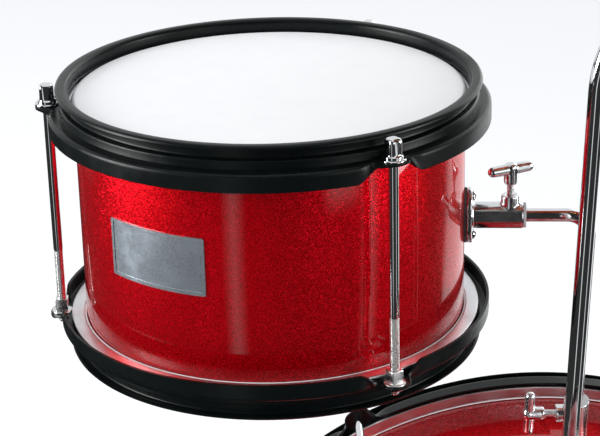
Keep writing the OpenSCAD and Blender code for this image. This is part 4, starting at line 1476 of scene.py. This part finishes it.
@dataclass
class CymbalStack:
    """Stud, sleeve, felts, cymbal and wing nut on the end of the cymbal arm."""

    maker: Maker
    frame: Matrix
    seat: float = 12.45
    radius: float = 127.0
    bell_r: float = 38.0
    bell_h: float = 15.0
    bow_h: float = 12.0
    hole_r: float = 6.3
    thick: float = 1.0
    stack_top: float = 9.45

    def stud(self) -> None:
        """Socket and shoulder turned from one bar, with a threaded rod."""
        bar = Shape().lathe(softened([(0, -19.9), (5.2, -19.9), (5.5, -19.0), (5.5, -12),
                                      (5.1, -11.4), (5.5, -10.8), (5.5, -1.2), (9.0, -0.05),
                                      (10.9, 1.6), (11, 3.9), (0, 3.95)], 0.5, 3), 64)
        base = moved(self.frame, z=-self.seat)
        self.maker.hang(bar.done("cymbal_stud", base), self.maker.finishes.chrome, "cymbal_rod")
        rod = Shape()
        rod.thread(2.97, 0.45, 1.0, 50, 4.2, 16)
        rod.lathe([(0, 3.5), (2.55, 3.5), (2.55, 55.4), (2.1, 56.6), (0, 56.7)], 32)
        self.maker.hang(rod.done("cymbal_rod_thread", base), self.maker.finishes.steel,
                        body=self.maker.kit.body_of["cymbal_rod"])

    def drop(self, r: float) -> float:
        """How far the cymbal has fallen at a radius."""
        if r < self.bell_r:
            return self.bell_h * ((r - self.hole_r) / (self.bell_r - self.hole_r)) ** 2
        share = (r - self.bell_r) / (self.radius - self.bell_r)
        return self.bell_h + self.bow_h * share ** 1.25

    def cymbal(self) -> None:
        """Spun brass with a bell, a bow and a rounded edge."""
        steps = 72
        radii = [self.hole_r + (self.radius - 0.2 - self.hole_r) * i / steps for i in range(steps + 1)]
        upper = [(r, self.thick - 0.05 - self.drop(r)) for r in radii]
        lower = [(r, 0.05 - self.drop(r)) for r in reversed(radii)]
        edge = [(self.radius, self.thick * 0.5 - self.drop(self.radius))]
        plate = Shape().lathe(upper + edge + lower, 256, closed=True)
        self.maker.hang(plate.done("cymbal_plate", self.frame), self.maker.finishes.brass(),
                        "cymbal")

    def felts(self) -> None:
        """Two pressed felt washers with slightly uneven sides."""

        def fuzz(co: Vector) -> Vector:
            reach = math.hypot(co.x, co.y)
            if reach < 6:
                return co
            lump = noise.noise(co * 0.45) * 0.35 + noise.noise(co * 1.7) * 0.16 - 0.28
            return co + Vector((co.x / reach, co.y / reach, 0)) * lump

        section = softened([(4.55, 0.1), (14.2, 0.1), (15.0, 1.0), (15.1, 2.6), (15.0, 4.4),
                            (14.3, 5.4), (10, 6.65), (5.6, 7.85), (4.55, 7.85)], 0.9, 4, closed=True)
        flipped = moved(self.frame, z=self.stack_top) @ Matrix.Diagonal((1, 1, -1, 1))
        for name, place in (("lower_felt", moved(self.frame, z=-self.seat + 4.1)),
                            ("upper_felt", flipped)):
            felt = Shape().lathe(section, 96, closed=True).spread(fuzz)
            self.maker.hang(felt.done(f"{name}_washer", place), self.maker.finishes.felt, name)

    def wing_nut(self) -> None:
        """Cast wing nut."""
        shape = Shape()
        shape.lathe(softened([(0, 0.1), (6.9, 0.1), (6.2, 4.0), (5.4, 8.9), (0, 8.9)], 0.8, 3), 48)
        for side in (-1, 1):
            made = bmesh.ops.create_uvsphere(shape.bm, u_segments=24, v_segments=16, radius=1.0)
            lean = turned(Matrix.Translation((side * 9.6, 0, 8.4)), -48 * side, "Y")
            bmesh.ops.transform(shape.bm, matrix=lean @ Matrix.Diagonal((9.2, 1.5, 4.9, 1)),
                                verts=made["verts"])
        place = turned(moved(self.frame, z=self.stack_top + 0.2), 20)
        nut = fuse(shape.done("cymbal_wing_nut_casting", place), 0.35, 5)
        self.maker.hang(nut, self.maker.finishes.casting, "cymbal_wing_nut")

    def build(self) -> None:
        """Builds the stack."""
        self.stud()
        self.cymbal()
        self.felts()
        self.wing_nut()
        self.maker.dress(self.maker.finishes.nylon, "cymbal_sleeve")


@dataclass
class Spur:
    """Sliding spur with its rubber tip."""

    maker: Maker
    side: str
    frame: Matrix
    length: float = 124.12
    radius: float = 4.75
    tip_r: float = 8.0

    def build(self) -> None:
        """Builds the rod and its tip."""
        rod = Shape().rod(self.radius, [("run", 25.0 + self.length - 4.0 - 1.6)], 48)
        self.maker.hang(rod.done(f"{self.side}_spur_rod", moved(self.frame, z=-25.0)),
                        self.maker.finishes.chrome, f"{self.side}_spur")
        r = self.tip_r
        outside = [(4.85, -20), (r - 1.4, -20)]
        for row in range(4):
            top = -18.6 + row * 4.2
            outside += [(r - 0.9, top), (r, top + 0.5), (r, top + 2.9), (r - 0.6, top + 3.4),
                        (r - 0.6, top + 3.9)]
        dome = arc_points((0, 0), r - 0.01, 0, -90, 12)
        bore = [(0, -4.1), (4.85, -4.1)]
        rubber = Shape().lathe(softened(outside, 0.25, 2) + dome[:-1] + [(0, -r)] + bore, 64)
        self.maker.hang(rubber.done(f"{self.side}_spur_foot", moved(self.frame, z=self.length)),
                        self.maker.finishes.rubber, f"{self.side}_spur_tip")


class Stage:
    """Floor, lights, world and camera."""

    # Bearing and half width in degrees, gain, and the height where each glowing panel begins.
    PANELS = ((-88.0, 15.0, 4.0, -0.2), (-22.0, 3.0, 1.2, -0.75), (40.0, 9.0, 1.8, -0.16),
              (56.0, 2.5, 1.3, -0.75), (86.0, 10.0, 2.8, -0.16), (143.0, 22.0, 1.1, -0.75))

    def __init__(self, tom_centre: Vector) -> None:
        """Keeps the tom's centre, which the camera is set from."""
        self.tom_centre = tom_centre

    def camera(self) -> None:
        """Long lens, looking down on the tom from the audience's side."""
        data = bpy.data.cameras.new("camera")
        data.lens, data.sensor_width, data.clip_end = 115.95, 36.0, 100.0
        camera = linked("camera", data)
        spot = Matrix.Translation(self.tom_centre + Vector((-10.8, -921.5, 452.7)) * MM)
        camera.matrix_world = turned(turned(turned(spot, -1.577), 90 - 26.578, "X"), 0.138)
        bpy.context.scene.camera = camera

    def floor(self) -> None:
        """Plain pale floor."""
        bm = bmesh.new()
        bmesh.ops.create_grid(bm, x_segments=1, y_segments=1, size=30)
        floor = linked("floor", as_mesh(bm, "floor"))
        material = bpy.data.materials.new("floor")
        material.use_nodes = True
        shader = material.node_tree.nodes["Principled BSDF"]
        shader.inputs["Base Color"].default_value = (0.86, 0.87, 0.885, 1)
        shader.inputs["Roughness"].default_value = 0.9
        shader.inputs["Specular IOR Level"].default_value = 0.1
        floor.data.materials.append(material)
        floor.visible_glossy = False
        floor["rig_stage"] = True

    def world(self) -> None:
        """White studio with a darker side behind the camera."""
        world = bpy.data.worlds.new("studio")
        world.use_nodes = True
        bpy.context.scene.world = world
        world.cycles.sampling_method = "NONE"
        tree = world.node_tree
        tree.nodes.clear()
        g = Graph(tree)
        way = g.add("ShaderNodeSeparateXYZ", {0: g.add("ShaderNodeTexCoord").outputs["Generated"]})
        x, y, z = (way.outputs[n] for n in "XYZ")
        bearing = g.math("MULTIPLY", g.math("ARCTAN2", x, g.math("MULTIPLY", y, -1.0)), 180 / math.pi)
        behind = g.math("MULTIPLY", g.ramp(g.math("ABSOLUTE", bearing), 112.0, 140.0),
                        g.ramp(z, -0.40, -0.15))
        pale = g.math("MULTIPLY", g.math("MAXIMUM", behind, g.ramp(z, 0.80, 0.95)), 0.85)
        total = g.math("MAXIMUM", pale, 0.03)
        for middle, half, gain, low in self.PANELS:
            away = g.math("ABSOLUTE", g.math("SUBTRACT", bearing, middle))
            level = g.math("MULTIPLY", g.ramp(z, low, low + 0.15), g.ramp(z, 0.62, 0.42))
            panel = g.math("MULTIPLY", g.ramp(away, half + 5.0, half - 5.0), level)
            total = g.math("ADD", total, g.math("MULTIPLY", panel, gain))
        seen = g.add("ShaderNodeVectorMath", {0: (0.97, 0.99, 1.0), "Scale": total},
                     operation="SCALE")
        shine = g.add("ShaderNodeBackground", {"Color": seen.outputs[0], "Strength": 1.0})
        plain = g.add("ShaderNodeBackground", {"Color": (0.93, 0.94, 0.955, 1), "Strength": 1.0})
        path = g.add("ShaderNodeLightPath")
        mix = g.add("ShaderNodeMixShader", {0: path.outputs["Is Glossy Ray"],
                                            1: plain.outputs[0], 2: shine.outputs[0]})
        g.add("ShaderNodeOutputWorld", {"Surface": mix.outputs[0]})

    def light(self, name: str, place: tuple, target: Vector, size: tuple, power: float) -> None:
        """A soft rectangular light.

        Args:
            name: Its name.
            place: Where it hangs, in metres.
            target: What it faces.
            size: Its sides in metres.
            power: Its power in watts.
        """
        data = bpy.data.lights.new(name, "AREA")
        data.shape, data.size, data.size_y, data.energy = "RECTANGLE", size[0], size[1], power
        lamp = linked(name, data)
        lamp.location = place
        lamp.rotation_euler = (target - Vector(place)).to_track_quat("-Z", "Y").to_euler()

    def build(self) -> None:
        """Sets the whole stage."""
        self.camera()
        self.floor()
        self.world()
        self.light("left_box", (-2.1, -0.25, 0.95), self.tom_centre, (0.9, 1.3), 42)
        self.light("right_box", (1.75, -0.45, 0.95), self.tom_centre, (0.5, 1.2), 17)
        scene = bpy.context.scene
        scene.view_settings.view_transform = "Standard"
        scene.view_settings.look = "None"


def main() -> None:
    logging.basicConfig(level=logging.INFO, format="%(name)s: %(message)s")
    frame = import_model()
    low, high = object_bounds()
    kit = Kit(frame)
    build_effects()
    leg = kit.axis("tom_tilt")
    tom_centre = kit.middle(f"tom_rod_{n}_turn" for n in (1, 2, 3))
    Stage(tom_centre).build()
    tom = frame_at(tom_centre, kit.axis("tom_rod_1_turn"), leg)
    bass = frame_at(kit.middle(f"bass_rod_{n}_turn" for n in range(1, 7)), kit.axis("bass_rod_1_turn"),
                    Vector((1, 0, 0)))
    cymbal = frame_at(kit.pos("cymbal_spin"), kit.axis("cymbal_spin"), Vector((1, 0, 0)))
    badge = moved(turned(tom, BADGE_BEARING), z=BADGE_RISE)
    finishes = Finishes(tom, bass, cymbal, badge)
    maker = Maker(kit, finishes)

    bracket = turned(moved(tom, z=-6), 90, "Y")
    Drum(maker, "tom", DrumSize(TOM_R, TOM_DEPTH, 3, TOM_FIRST_ROD), tom).build(
        ("batter", "resonant"), [(moved(bracket, z=TOM_R), 5.0)])
    Badge(maker, badge).build()

    middle, up = bass.translation, Vector((0, 0, 1))
    upright, tube = kit.pos("tom_arm_swivel"), kit.pos("cymbal_arm_swivel")
    crown = {name: frame_at(Vector((spot.x, spot.y, middle.z)), up, Vector((0, 1, 0)))
             for name, spot in (("arm", upright), ("cymbal", tube))}
    spurs, plates = {}, {}
    for side in ("left", "right"):
        out, bolt = -kit.axis(f"{side}_spur_slide"), f"{side}_spur_bolt_turn"
        spurs[side] = frame_at(kit.pos(bolt) - out * 24 * MM, out, -kit.axis(bolt))
        lean = math.radians(35)
        away = Vector((math.copysign(math.cos(lean), out.x), 0, -math.sin(lean)))
        plates[side] = frame_at(Vector((middle.x, middle.y - 70 * MM, middle.z)), away, Vector((0, 1, 0)))
    holes = [(moved(crown["arm"], z=BASS_R), 5.0), (moved(crown["cymbal"], z=BASS_R), 5.75)]
    holes += [(spurs[side], 6.25) for side in spurs]
    Drum(maker, "bass", DrumSize(BASS_R, BASS_DEPTH, 6, 0.0, facets=432), bass).build(
        ("batter", "front"), holes)

    arms = Arms(maker)
    arms.tom_arm()
    arms.cymbal_arm()
    CymbalStack(maker, cymbal).build()
    for side, frame_of_spur in spurs.items():
        Spur(maker, side, frame_of_spur).build()

    brackets = [Bracket(maker, f"{name}_bracket", crown[name], BASS_R, 46.0) for name in crown]
    brackets += [Bracket(maker, f"{side}_spur_bracket", plates[side], BASS_R, 40.0)
                 for side in plates]
    tom_bracket = Bracket(maker, "tom_bracket", bracket, TOM_R, 30.0)
    heads, tom_heads = Shape(), Shape()
    for each in brackets:
        each.casting()
        each.screws(heads, bass)
    tom_bracket.casting()
    tom_bracket.screws(tom_heads, tom)
    maker.hang(heads.done("bass_pan_screws", bass), finishes.chrome, "bracket_screws")
    maker.hang(tom_heads.done("tom_pan_screws", tom), finishes.chrome, "tom_bracket_screws")
    maker.dress(finishes.rubber, "bracket_gaskets", "tom_bracket_gasket")
    maker.dress(finishes.nylon, "arm_bush", "cymbal_bush", "tom_bush")

    down = -up
    for node, joint, shaft, inner, outer, turn in (
            ("tom_wing_bolt", "tom_wing_bolt_turn", -leg, 5.2, 7.0, 28),
            ("arm_wing_bolt", "arm_wing_bolt_turn", down, 5.2, 7.0, 0),
            ("cymbal_wing_bolt", "cymbal_wing_bolt_turn", down, 5.95, 7.75, 30),
            ("left_spur_wing_bolt", "left_spur_bolt_turn", spurs["left"].col[2].xyz, 4.75, 8.75, 90),
            ("right_spur_wing_bolt", "right_spur_bolt_turn", spurs["right"].col[2].xyz, 4.75, 8.75, 90)):
        place = frame_at(kit.pos(joint), kit.axis(joint), shaft)
        WingBolt(maker, node, place, inner + 0.15, outer + 4.6 + 6.0, turn).build()

    after_low, after_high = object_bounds()
    ({"cad": [list(low), list(high)],
               "visual": [list(after_low), list(after_high)]})


if __name__ == "__main__":
    main()
